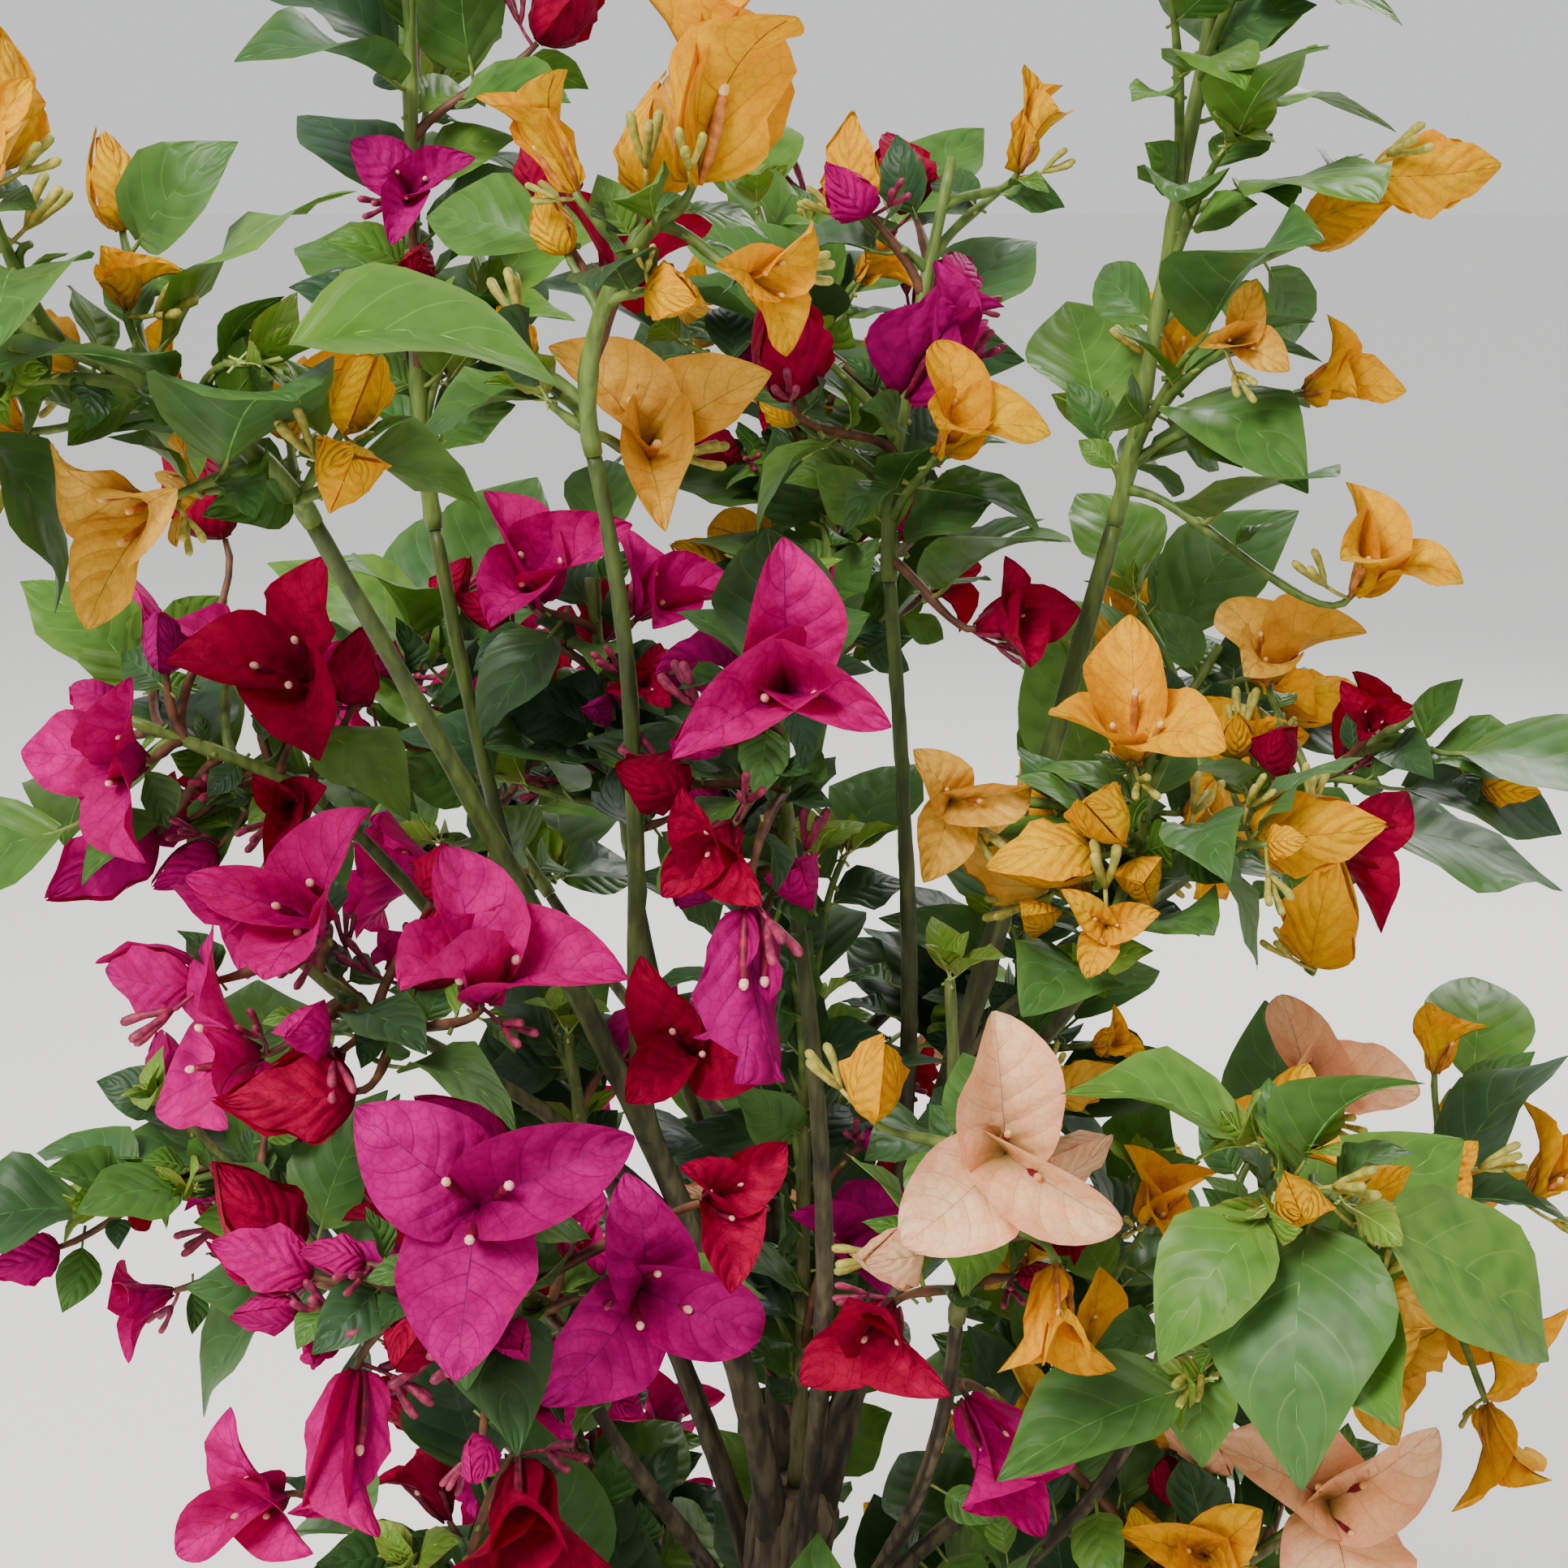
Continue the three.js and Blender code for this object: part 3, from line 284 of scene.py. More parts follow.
SPRAYS = {
    "left_arch": Plan("left", (-134, -160, 524), (-196, -168, 546), 48, 4, 0.4, GOLDS, FRONT, (
        leaf(-112, -168, 524, (1, -0.25, 0.1), 68),
        leaf(-152, -172, 548, (1, -0.2, 0.1), 50),
        lantern(-168, -140, 562, (0.1, 0.1, 1), 31, G),
        lantern(-188, -134, 506, (-0.4, 0.3, 0.9), 32, G),
    )),
    "left_leader": Plan("leader", (-100, 28, 580), (-97, 32, 694), 44, 4, 0.2, REDS, OUTER, (
        lantern(-66, 32, 596, (0.6, 0, 0.7), 28, C),
    )),
    "right_leader": Plan("right", (104, 0, 590), (130, 2, 704), 56, 6, 0.1, GOLDS, FRONT, (
        lantern(152, -2, 562, (1, 0, 0.05), 33, G),
        blossom(146, -30, 456, (0.35, -0.45, 0.8), 34, 38, G),
        blossom(108, 32, 508, (-0.1, -0.3, 1), 30, 28, G),
    )),
    "crest": Plan("crest", (-44, -110, 540), (-22, -116, 556), 52, 3, 0.6, (G, C, G), OUTER, (
        blossom(-20, -118, 560, (0.15, -0.1, 1), 50, 20, G),
        blossom(-46, -116, 558, (-0.45, -0.1, 0.9), 31, 22, G),
        blossom(-8, -124, 540, (0.8, -0.7, 0), 26, 60, G),
        blossom(-34, -60, 496, (0.2, -0.7, 0.5), 40, 50, A),
    )),
    "top": Plan("top", (34, 0, 520), (44, 4, 566), 56, 5, 0.5, (M, G, C), OUTER, (
        blossom(32, -2, 504, (0.45, -0.25, 0.9), 38, 24, V),
        lantern(2, -34, 506, (-0.15, -0.3, 1), 32, C),
        lantern(20, 0, 552, (-0.1, 0, 1), 25, G),
        blossom(62, 18, 562, (0.3, -0.2, 1), 30, 22, G),
        blossom(50, -22, 446, (0.6, -0.5, 0.3), 28, 34, C),
    )),
    "back_top": Plan("back", (16, 112, 470), (-8, 112, 552), 70, 10, 0.5, MIXED, OUTER),
    "centre": Plan("centre", (0, -78, 418), (-2, -84, 462), 50, 5, 0.5, REDS, INNER_SHADED_GREENS, (
        blossom(0, -106, 444, (0.1, -0.9, 0.35), 40, 56, M),
        blossom(-12, -104, 412, (-0.35, -0.8, -0.3), 27, 42, C),
        blossom(-8, -118, 396, (0, -0.4, -1), 44, 16, V),
        blossom(-22, -92, 352, (-0.2, -0.7, 0.3), 30, 44, C),
    )),
    "gold": Plan("gold", (88, -78, 396), (88, -86, 432), 50, 5, 0.7, GOLDS, OUTER, (
        blossom(84, -84, 424, (-0.05, -0.5, 0.8), 37, 42, G),
        lantern(74, -94, 402, (-1, -0.35, 0), 28, G),
        blossom(40, -84, 414, (0.15, -0.9, 0.1), 28, 54, A),
        lantern(112, -88, 408, (1, -0.25, 0.05), 32, G),
    )),
    "outer": Plan("outer", (150, 8, 400), (172, 4, 420), 50, 5, 0.6, (G, C, G), OUTER, (
        lantern(140, -32, 358, (0.1, -0.3, 1), 34, G),
        blossom(158, 30, 398, (0.3, 0, 1), 30, 24, C),
        blossom(134, 20, 424, (0, -0.5, 0.9), 32, 44, A),
    )),
    "magenta_high": Plan("magenta_high", (-104, -104, 368), (-124, -104, 388), 50, 5, 0.7, REDS, OUTER, (
        blossom(-70, -122, 374, (0.05, -0.6, 0.8), 44, 44, M),
        blossom(-108, -104, 388, (-0.45, -0.8, 0.5), 36, 52, M),
        blossom(-126, -98, 354, (-0.85, -0.5, 0.1), 38, 54, M),
        lantern(-100, -120, 352, (-0.9, -0.4, 0.1), 32, C),
    )),
    "magenta_low": Plan("magenta_low", (-72, -122, 300), (-84, -136, 316), 50, 5, 0.7, REDS, OUTER, (
        blossom(-69, -148, 334, (0.05, -0.9, 0.4), 42, 64, V),
        blossom(-34, -122, 304, (0.3, -0.7, 0.1), 40, 58, V),
        lantern(-122, -96, 300, (-0.5, -0.3, 1), 33, C),
        blossom(-100, -132, 288, (-0.15, -0.5, -1), 42, 16, M),
        blossom(-18, -128, 328, (0.5, -0.8, 0.4), 24, 50, C),
    )),
    "west": Plan("west", (-148, -28, 414), (-170, -32, 424), 50, 5, 0.6, REDS, OUTER, (
        blossom(-164, -38, 414, (-0.5, -0.7, 0.2), 34, 56, M),
        blossom(-122, -34, 434, (-0.3, -0.7, 0.4), 38, 46, C),
        blossom(-132, -30, 380, (-0.5, -0.7, -0.2), 30, 44, M),
        lantern(-150, 6, 466, (-0.4, 0, 1), 31, C),
    )),
    "north_west": Plan("inner", (-50, 38, 410), (-54, 30, 452), 56, 8, 0.35, REDS, INNER_SHADED_GREENS, (
        blossom(-68, 24, 446, (0, -0.6, 0.7), 38, 42, M),
    )),
    "peach": Plan("peach", (48, -128, 324), (52, -138, 346), 44, 4, 0.5, (P, C, G), OUTER, (
        blossom(50, -146, 346, (0, -1, 0.15), 38, 60, P),
        lantern(20, -136, 352, (0.1, -0.5, 0.9), 24, G),
        blossom(62, -142, 318, (0, -0.6, -0.8), 30, 28, G),
        blossom(26, -122, 300, (-0.3, -0.8, -0.2), 30, 50, C),
    )),
    "leafy": Plan("leafy", (106, -138, 322), (114, -160, 350), 54, 4, 0.3, GOLDS, FRONT, (
        leaf(122, -166, 342, (1, 0.1, -0.7), 66),
        leaf(106, -172, 344, (-0.6, -0.5, -0.5), 42),
        leaf(104, -164, 354, (-0.9, 0, 0.35), 54),
        blossom(112, -106, 330, (0.3, -0.6, 0.7), 30, 40, G),
        leaf(100, -128, 284, (-1, -0.3, -0.3), 56, Green.MIDDLE),
    )),
    "east": Plan("east", (172, -12, 276), (204, -10, 290), 54, 6, 0.5, GOLDS, OUTER, (
        blossom(206, -8, 284, (0.6, -0.3, 0.8), 30, 32, G),
        blossom(188, -44, 240, (0.35, -0.4, -0.9), 30, 28, G),
        blossom(142, -16, 314, (0.1, -0.6, 0.7), 34, 44, P),
    )),
    "south_east": Plan("trunk", (82, -46, 160), (142, -84, 232), 56, 6, 0.4, PEACHES, OUTER, (
        blossom(138, -86, 232, (0.1, -0.8, 0.4), 40, 56, P),
        lantern(136, -62, 258, (-0.1, -0.6, 0.3), 30, M),
        blossom(106, -96, 222, (-0.1, -0.8, 0.4), 32, 40, G),
        blossom(46, -90, 262, (0.4, -0.7, -0.4), 40, 18, M),
    ), 0.5),
    "south_west": Plan("trunk", (-58, -56, 168), (-92, -102, 222), 54, 6, 0.5, REDS, INNER_SHADED_GREENS, (
        blossom(-66, -96, 248, (0.1, -0.7, -0.4), 40, 40, C),
        blossom(-126, -90, 236, (-0.5, -0.8, 0.2), 34, 48, M),
    ), 0.56),
    "south": Plan("trunk", (6, -64, 134), (10, -118, 190), 58, 8, 0.1, PEACHES, INNER_SHADED_GREENS, (), 0.46),
    "west_low": Plan("west_low", (-142, -26, 292), (-164, -30, 318), 60, 9, 0.45, REDS, OUTER),
    "heart_left": Plan("heart_left", (-52, -48, 320), (-56, -48, 344), 50, 6, 0.15, REDS, INNER_SHADED_GREENS),
    "heart_right": Plan("heart_right", (66, 30, 320), (70, 32, 352), 52, 8, 0.15, GOLDS, INNER_SHADED_GREENS),
    "heart_front": Plan("heart_front", (44, -58, 330), (42, -60, 362), 50, 6, 0.15, GOLDS, INNER_SHADED_GREENS),
    "heart": Plan("trunk", (4, 0, 290), (8, -6, 380), 50, 8, 0.1, REDS, INNER_SHADED_GREENS),
    "back_west": Plan("back_west", (-100, 114, 380), (-124, 120, 420), 66, 10, 0.5, REDS),
    "back_east": Plan("back_east", (112, 108, 380), (134, 112, 420), 64, 10, 0.5, GOLDS),
    "back_middle": Plan("trunk", (4, 62, 214), (10, 122, 300), 60, 10, 0.4, PEACHES, OUTER, (), 0.64),
    "back_low_west": Plan("trunk", (-72, 72, 166), (-104, 118, 256), 64, 9, 0.4, REDS, OUTER, (), 0.52),
    "back_low_east": Plan("trunk", (78, 70, 154), (112, 108, 250), 64, 10, 0.4, GOLDS, OUTER, (), 0.44),
}


SEED_SPREAD = 2654435761


class Dice:
    """The source's linear congruential generator: the same numbers for the same seed."""

    factor = 1664525
    increment = 1013904223
    modulus = 2**32

    def __init__(self, seed: int) -> None:
        """Starts from a seed that is spread over 32 bits."""
        self.state = (seed * SEED_SPREAD) % self.modulus

    def roll(self) -> float:
        """The next number from 0 to 1."""
        self.state = (self.state * self.factor + self.increment) % self.modulus
        return self.state / self.modulus

    def above(self, least: float, more: float) -> float:
        """A number from least to least + more."""
        return least + more * self.roll()


def cross(first: Array, second: Array) -> Array:
    """The cross product of vectors."""
    return first[..., NEXT] * second[..., LAST] - first[..., LAST] * second[..., NEXT]


def unit(vectors: Array) -> Array:
    """Vectors brought to length 1, along their last axis."""
    return vectors / np.maximum(np.linalg.norm(vectors, axis=-1, keepdims=True), 1e-12)


def square_to(axis: Array, wish: Array) -> tuple[Array, Array]:
    """Two unit vectors square to an axis, the second as near a wish as it can be.

    Args:
        axis: A unit vector.
        wish: The way that the second vector should point.

    Returns:
        The first and the second vector.
    """
    z = wish - axis * axis.dot(wish)
    if z.dot(z) < 1e-3:
        z = SPARE_SIDE - axis * axis.dot(SPARE_SIDE)
    z = unit(z)
    return cross(z, axis), z


def around(sides: tuple[Array, Array], angle: float) -> Array:
    """The way that faces an angle between two side directions."""
    return sides[0] * math.cos(angle) + sides[1] * math.sin(angle)


def nearest_whole(value: float) -> int:
    """A number rounded half up, as the source rounds."""
    return math.floor(value + 0.5)


@dataclass(frozen=True)
class Curve:
    """A cubic Bezier curve: its start, its two handles and its end."""

    start: Array
    leave: Array
    arrive: Array
    end: Array

    def points(self, share: Array | float) -> Array:
        """Points at shares s of the curve: r^3 a + 3 r^2 s b + 3 r s^2 c + s^3 d, with r = 1 - s.

        Args:
            share: One share or an array of them.

        Returns:
            A point for each share.
        """
        s = np.asarray(share, float)[..., None]
        r = 1 - s
        return r**3 * self.start + 3 * r**2 * s * self.leave + 3 * r * s**2 * self.arrive + s**3 * self.end

    def tangents(self, share: Array | float) -> Array:
        """Unit tangents, each from two points a small step apart.

        Args:
            share: One share or an array of them.

        Returns:
            A tangent for each share.
        """
        s = np.asarray(share, float)
        ahead = self.points(np.minimum(s + TANGENT_STEP, 1))
        return unit(ahead - self.points(np.maximum(s - TANGENT_STEP, 0)))

    def length(self) -> float:
        """The length of a chain of short chords."""
        chords = np.diff(self.points(np.linspace(0, 1, CHORDS + 1)), axis=0)
        return float(np.linalg.norm(chords, axis=1).sum())


class Line:
    """Points along a curve with two side directions at each, carried back from the far end untwisted."""

    def __init__(self, curve: Curve, count: int) -> None:
        """Divides the curve into count equal steps of its parameter.

        Args:
            curve: The curve.
            count: How many steps.
        """
        shares = np.linspace(0, 1, count + 1)
        self.curve = curve
        self.at = curve.points(shares)
        self.along = curve.tangents(shares)
        self.sides: list[tuple[Array, Array]] = []
        wish = UP
        for along in self.along[::-1]:
            self.sides.insert(0, square_to(along, wish))
            wish = self.sides[0][1]

    def pairs(self) -> Array:
        """The straight steps from point to point."""
        return np.stack((self.at[:-1], self.at[1:]), 1)

    def on(self, share: float) -> Array:
        """A point at a share of the line, straight from point to point.

        Args:
            share: How far along the line, from 0 to 1.

        Returns:
            The point.
        """
        place = share * (len(self.at) - 1)
        i = min(math.floor(place), len(self.at) - 2)
        return self.at[i] + (self.at[i + 1] - self.at[i]) * (place - i)


def curve_from(start: Array, along: Array, via: Array, end: Array) -> Curve:
    """A limb's curve, which heads at first between its parent's way and its own."""
    leave = unit(unit(via - start) * LIMB_LEAN + along)
    return Curve(start, start + leave * np.linalg.norm(via - start) * LIMB_HANDLE, via, end)


class Limbs:
    """The curves and radii of the trunk and the boughs, by name."""

    def __init__(self) -> None:
        """Works out every limb from the table, parents first."""
        lean = (-TRUNK_LEAN, TRUNK_LEAN / 2, TRUNK_HEIGHT * 0.6)
        trunk = ((0, 0, 0), (0, 0, TRUNK_HEIGHT * 0.3), lean, (3, -2, TRUNK_HEIGHT))
        self.curves = {"trunk": Curve(*(np.array(point, float) for point in trunk))}
        self.radii = {"trunk": (TRUNK_WAIST_RADIUS, TRUNK_FORK_RADIUS)}
        for name, bough in BOUGHS.items():
            via, tip = np.array(bough.via, float), np.array(bough.tip, float)
            start = self.start_on(bough.parent, bough.at, via)
            along = self.curves[bough.parent].tangents(bough.at)
            self.curves[name] = curve_from(start, along, via, tip)
            self.radii[name] = bough.radii

    def start_on(self, parent: str, share: float, via: Array) -> Array:
        """Where a limb leaves its parent: on the trunk, towards the side that it heads for.

        Args:
            parent: The limb that it leaves.
            share: Where along its parent it starts.
            via: The point that it heads for.

        Returns:
            Its start.
        """
        start = self.curves[parent].points(share)
        if parent != "trunk":
            return start
        side = via - start
        side[2] = 0
        return start + unit(side) * ON_TRUNK * TRUNK_FORK_RADIUS


@dataclass(frozen=True)
class Blade:
    """A leaf or a bract as the source sees it: a kite, folded along its midrib."""

    foot: Array
    along: Array
    face: Array
    length: float
    width: float
    widest: float
    fold: float

    def frame(self) -> tuple[Array, Array, Array]:
        """The ways along the midrib, to the left of it and up from it.

        Returns:
            Three unit vectors.
        """
        x = unit(self.along)
        y, z = square_to(x, self.face)
        return x, y, z

    def corners(self) -> Array:
        """The neck, left, right and tip corners.

        Returns:
            The four points, a row for each.
        """
        x, y, z = self.frame()
        half = y * (self.length * self.width / 2)
        wide = self.foot + x * (self.length * self.widest) + z * (self.fold * self.length)
        return np.stack((self.foot + x * NECK, wide + half, wide - half, self.foot + x * self.length))


PROBES = np.array((
    (0, 0, 0, 1), (0, 1, 0, 0), (0, 0, 1, 0), (0, 0.5, 0.5, 0), (0.5, 0.5, 0, 0), (0.5, 0, 0.5, 0),
    (0.5, 0.25, 0.25, 0), (0, 0.67, 0, 0.33), (0, 0.33, 0, 0.67), (0, 0, 0.67, 0.33), (0, 0, 0.33, 0.67),
    (0, 0.25, 0.25, 0.5), (0, 0.75, 0.25, 0), (0, 0.25, 0.75, 0),
))  # a blade's test points, each as shares of its neck, left, right and tip corners
EDGES = np.array(((0, 3), (0, 1), (1, 3), (0, 2), (2, 3)))
HALVES = np.array(((0, 1, 3), (0, 3, 2)))


def halves_of(blade: Blade, corners: Array) -> Array:
    """A blade's two halves, in three layers that stand for its thickness."""
    shifts = np.array((-LAYER, 0, LAYER))[:, None, None] * blade.frame()[2]
    return (corners + shifts)[:, HALVES].reshape(-1, 3, 3)


def leaf_blade(foot: Array, along: Array, face: Array, length: float) -> Blade:
    """A leaf's blade."""
    return Blade(foot, along, face, length, LEAF_WIDTH, LEAF_WIDEST, LEAF_FOLD)


def bract_blades(end: End, turn: float) -> list[Blade]:
    """The three bracts of a blossom round its axis.

    Args:
        end: The blossom.
        turn: The angle that its first bract is turned by.

    Returns:
        The three blades.
    """
    axis = unit(end.face)
    sides = square_to(axis, UP)
    tilt = math.radians(end.open)
    width = min(BRACT_WIDTH, BRACT_ROOM * BRACT_WIDEST * math.sin(tilt))
    fold = 0 if width < BRACT_WIDTH else BRACT_FOLD
    blades = []
    for i in range(3):
        out = around(sides, turn + i * 2 * math.pi / 3)
        along = axis * math.cos(tilt) + out * math.sin(tilt)
        face = axis * math.sin(tilt) - out * math.cos(tilt)
        blades.append(Blade(end.at, along, face, end.size, width, BRACT_WIDEST, fold))
    return blades


def pyramids(a: Array, b: Array, c: Array, d: Array) -> Array:
    """Six times the signed volumes of the pyramids between four points."""
    return np.sum((b - a) * cross(c - a, d - a), axis=-1)


def crosses(segments: Array, halves: Array) -> bool:
    """Whether any straight segment goes through any triangle.

    Args:
        segments: Two ends for each segment.
        halves: Three corners for each triangle.

    Returns:
        Whether one does.
    """
    for _ in range(2):
        if not len(segments) or not len(halves):
            return False
        low, high = segments.min((0, 1)), segments.max((0, 1))
        halves = halves[(halves.min(1) <= high).all(1) & (halves.max(1) >= low).all(1)]
        if not len(halves):
            return False
        low, high = halves.min((0, 1)), halves.max((0, 1))
        segments = segments[(segments.min(1) <= high).all(1) & (segments.max(1) >= low).all(1)]
    if not len(segments):
        return False
    a, b = segments[:, None, 0], segments[:, None, 1]
    p, q, r = (halves[None, :, k] for k in range(3))
    astride = pyramids(a, p, q, r) * pyramids(b, p, q, r) < 0
    turns = np.stack((pyramids(a, b, p, q), pyramids(a, b, q, r), pyramids(a, b, r, p)))
    return bool((astride & ((turns > 0).all(0) | (turns < 0).all(0))).any())


class Spray:
    """A spray's stem with all that grows on it."""

    def __init__(self, name: str, plan: Plan, limbs: Limbs) -> None:
        """Lays out the stem and the posts that the spray's space lies round.

        Args:
            name: The spray's name.
            plan: Its row of the table.
            limbs: The trunk and the boughs.
        """
        self.name = name
        self.plan = plan
        via, end = np.array(plan.via, float), np.array(plan.end, float)
        along = limbs.curves[plan.parent].tangents(plan.at)
        if plan.at < 1:
            curve = curve_from(limbs.start_on(plan.parent, plan.at, via), along, via, end)
            self.radii = TRUNK_STEM_RADII
        else:
            start = limbs.curves[plan.parent].points(1.0) + along * CLEARANCE
            curve = Curve(start, start + along * np.linalg.norm(via - start) * STEM_HANDLE, via, end)
            first, last = BOUGH_STEM_RADII
            self.radii = (min(first, limbs.radii[plan.parent][1]), last)
        self.stem = Line(curve, max(3, nearest_whole(curve.length() / INTERNODE)))
        self.segments = self.stem.pairs()
        self.looks = np.array([self.stem.on(i / LOOKS) for i in range(LOOKS + 1)])
        self.halves = np.zeros((0, 3, 3))
        self.twigs: list[tuple[Line, End, float]] = []
        self.leaves: list[tuple[Blade, Green]] = []
        self.shell: list[Array] = [self.stem.at]

    def posts(self) -> Array:
        """The stem's points, and three for each named blossom or leaf, with one more for each bract.

        Returns:
            The posts, a row for each.
        """
        posts = list(self.stem.at[1:])
        for end in self.plan.named:
            gaps = np.linalg.norm(self.stem.at - end.at, axis=1)
            near = self.stem.at[len(gaps) - 1 - int(np.argmin(gaps[::-1]))]
            posts += [end.at, end.at + unit(end.face) * end.size * 0.5, near + (end.at - near) * 0.5]
            if end.open:
                posts += [end.at + blade.along * end.size * 0.7 for blade in bract_blades(end, 0)]
        return np.array(posts)


class Space:
    """The room in the crown: each spray's own part of it, clear of the bark."""

    def __init__(self, limbs: Limbs, sprays: list[Spray]) -> None:
        """Gathers beads along every limb, and every spray's posts.

        Args:
            limbs: The trunk and the boughs.
            sprays: All the sprays.
        """
        shares = np.linspace(0, 1, BEADS + 1)
        self.beads = np.concatenate([curve.points(shares) for curve in limbs.curves.values()])
        self.radii = np.concatenate([a + (b - a) * shares for a, b in limbs.radii.values()])
        posts = [spray.posts() for spray in sprays]
        self.posts = np.concatenate(posts)
        owners = np.repeat(np.arange(len(posts)), [len(own) for own in posts])
        self.own = {spray.name: owners == i for i, spray in enumerate(sprays)}

    def owned(self, name: str, points: Array) -> bool:
        """Whether all points are nearer one of the spray's posts than any other spray's, by the margin.

        Args:
            name: The spray's name.
            points: The points to test.

        Returns:
            Whether they are.
        """
        gaps = np.linalg.norm(points[:, None] - self.posts, axis=2)
        own = self.own[name]
        return bool((gaps[:, ~own].min(1) - gaps[:, own].min(1) > 2 * SPACE_MARGIN).all())

    def clear(self, points: Array) -> bool:
        """Whether all points keep off the bark."""
        gaps = np.linalg.norm(points[:, None] - self.beads, axis=2)
        return bool((gaps > self.radii + TWIG_RADIUS + LIMB_MARGIN).all())

    def off_limbs(self, blade: Blade) -> bool:
        """Whether no limb's bark comes within the margin of a blade.

        Args:
            blade: The blade.

        Returns:
            Whether none does.
        """
        a, b, c = ((self.beads - blade.foot) @ way for way in blade.frame())
        room = self.radii + LIMB_MARGIN
        share = np.clip(a / blade.length, 0, 1)
        wide = np.where(share < blade.widest, share / blade.widest, (1 - share) / (1 - blade.widest))
        beyond = (a < -room) | (a > blade.length + room)
        beyond |= (c < -room - 1) | (c > room + blade.fold * blade.length)
        return bool((beyond | (np.abs(b) > blade.length * blade.width * wide / 2 + room)).all())


def rolled_blossom(
    at: Array, face: Array, size: float, shade: Shade, closed: float, least: float, dice: Dice,
) -> End:
    """A blossom that the dice leave closed or open.

    Args:
        at: Where its foot is.
        face: The way that it faces.
        size: Its bracts' length when it is open.
        shade: Its colour.
        closed: The chance that it is closed.
        least: The least angle between its axis and its bracts when it is open, in degrees.
        dice: Where its chances come from.

    Returns:
        What the twig carries.
    """
    if dice.roll() < closed:
        return End(Kind.LANTERN, at, face, size * CLOSED_SHARE, LANTERN_OPEN, shade)
    return End(Kind.BLOSSOM, at, face, size, dice.above(least, OPENING_MORE), shade)


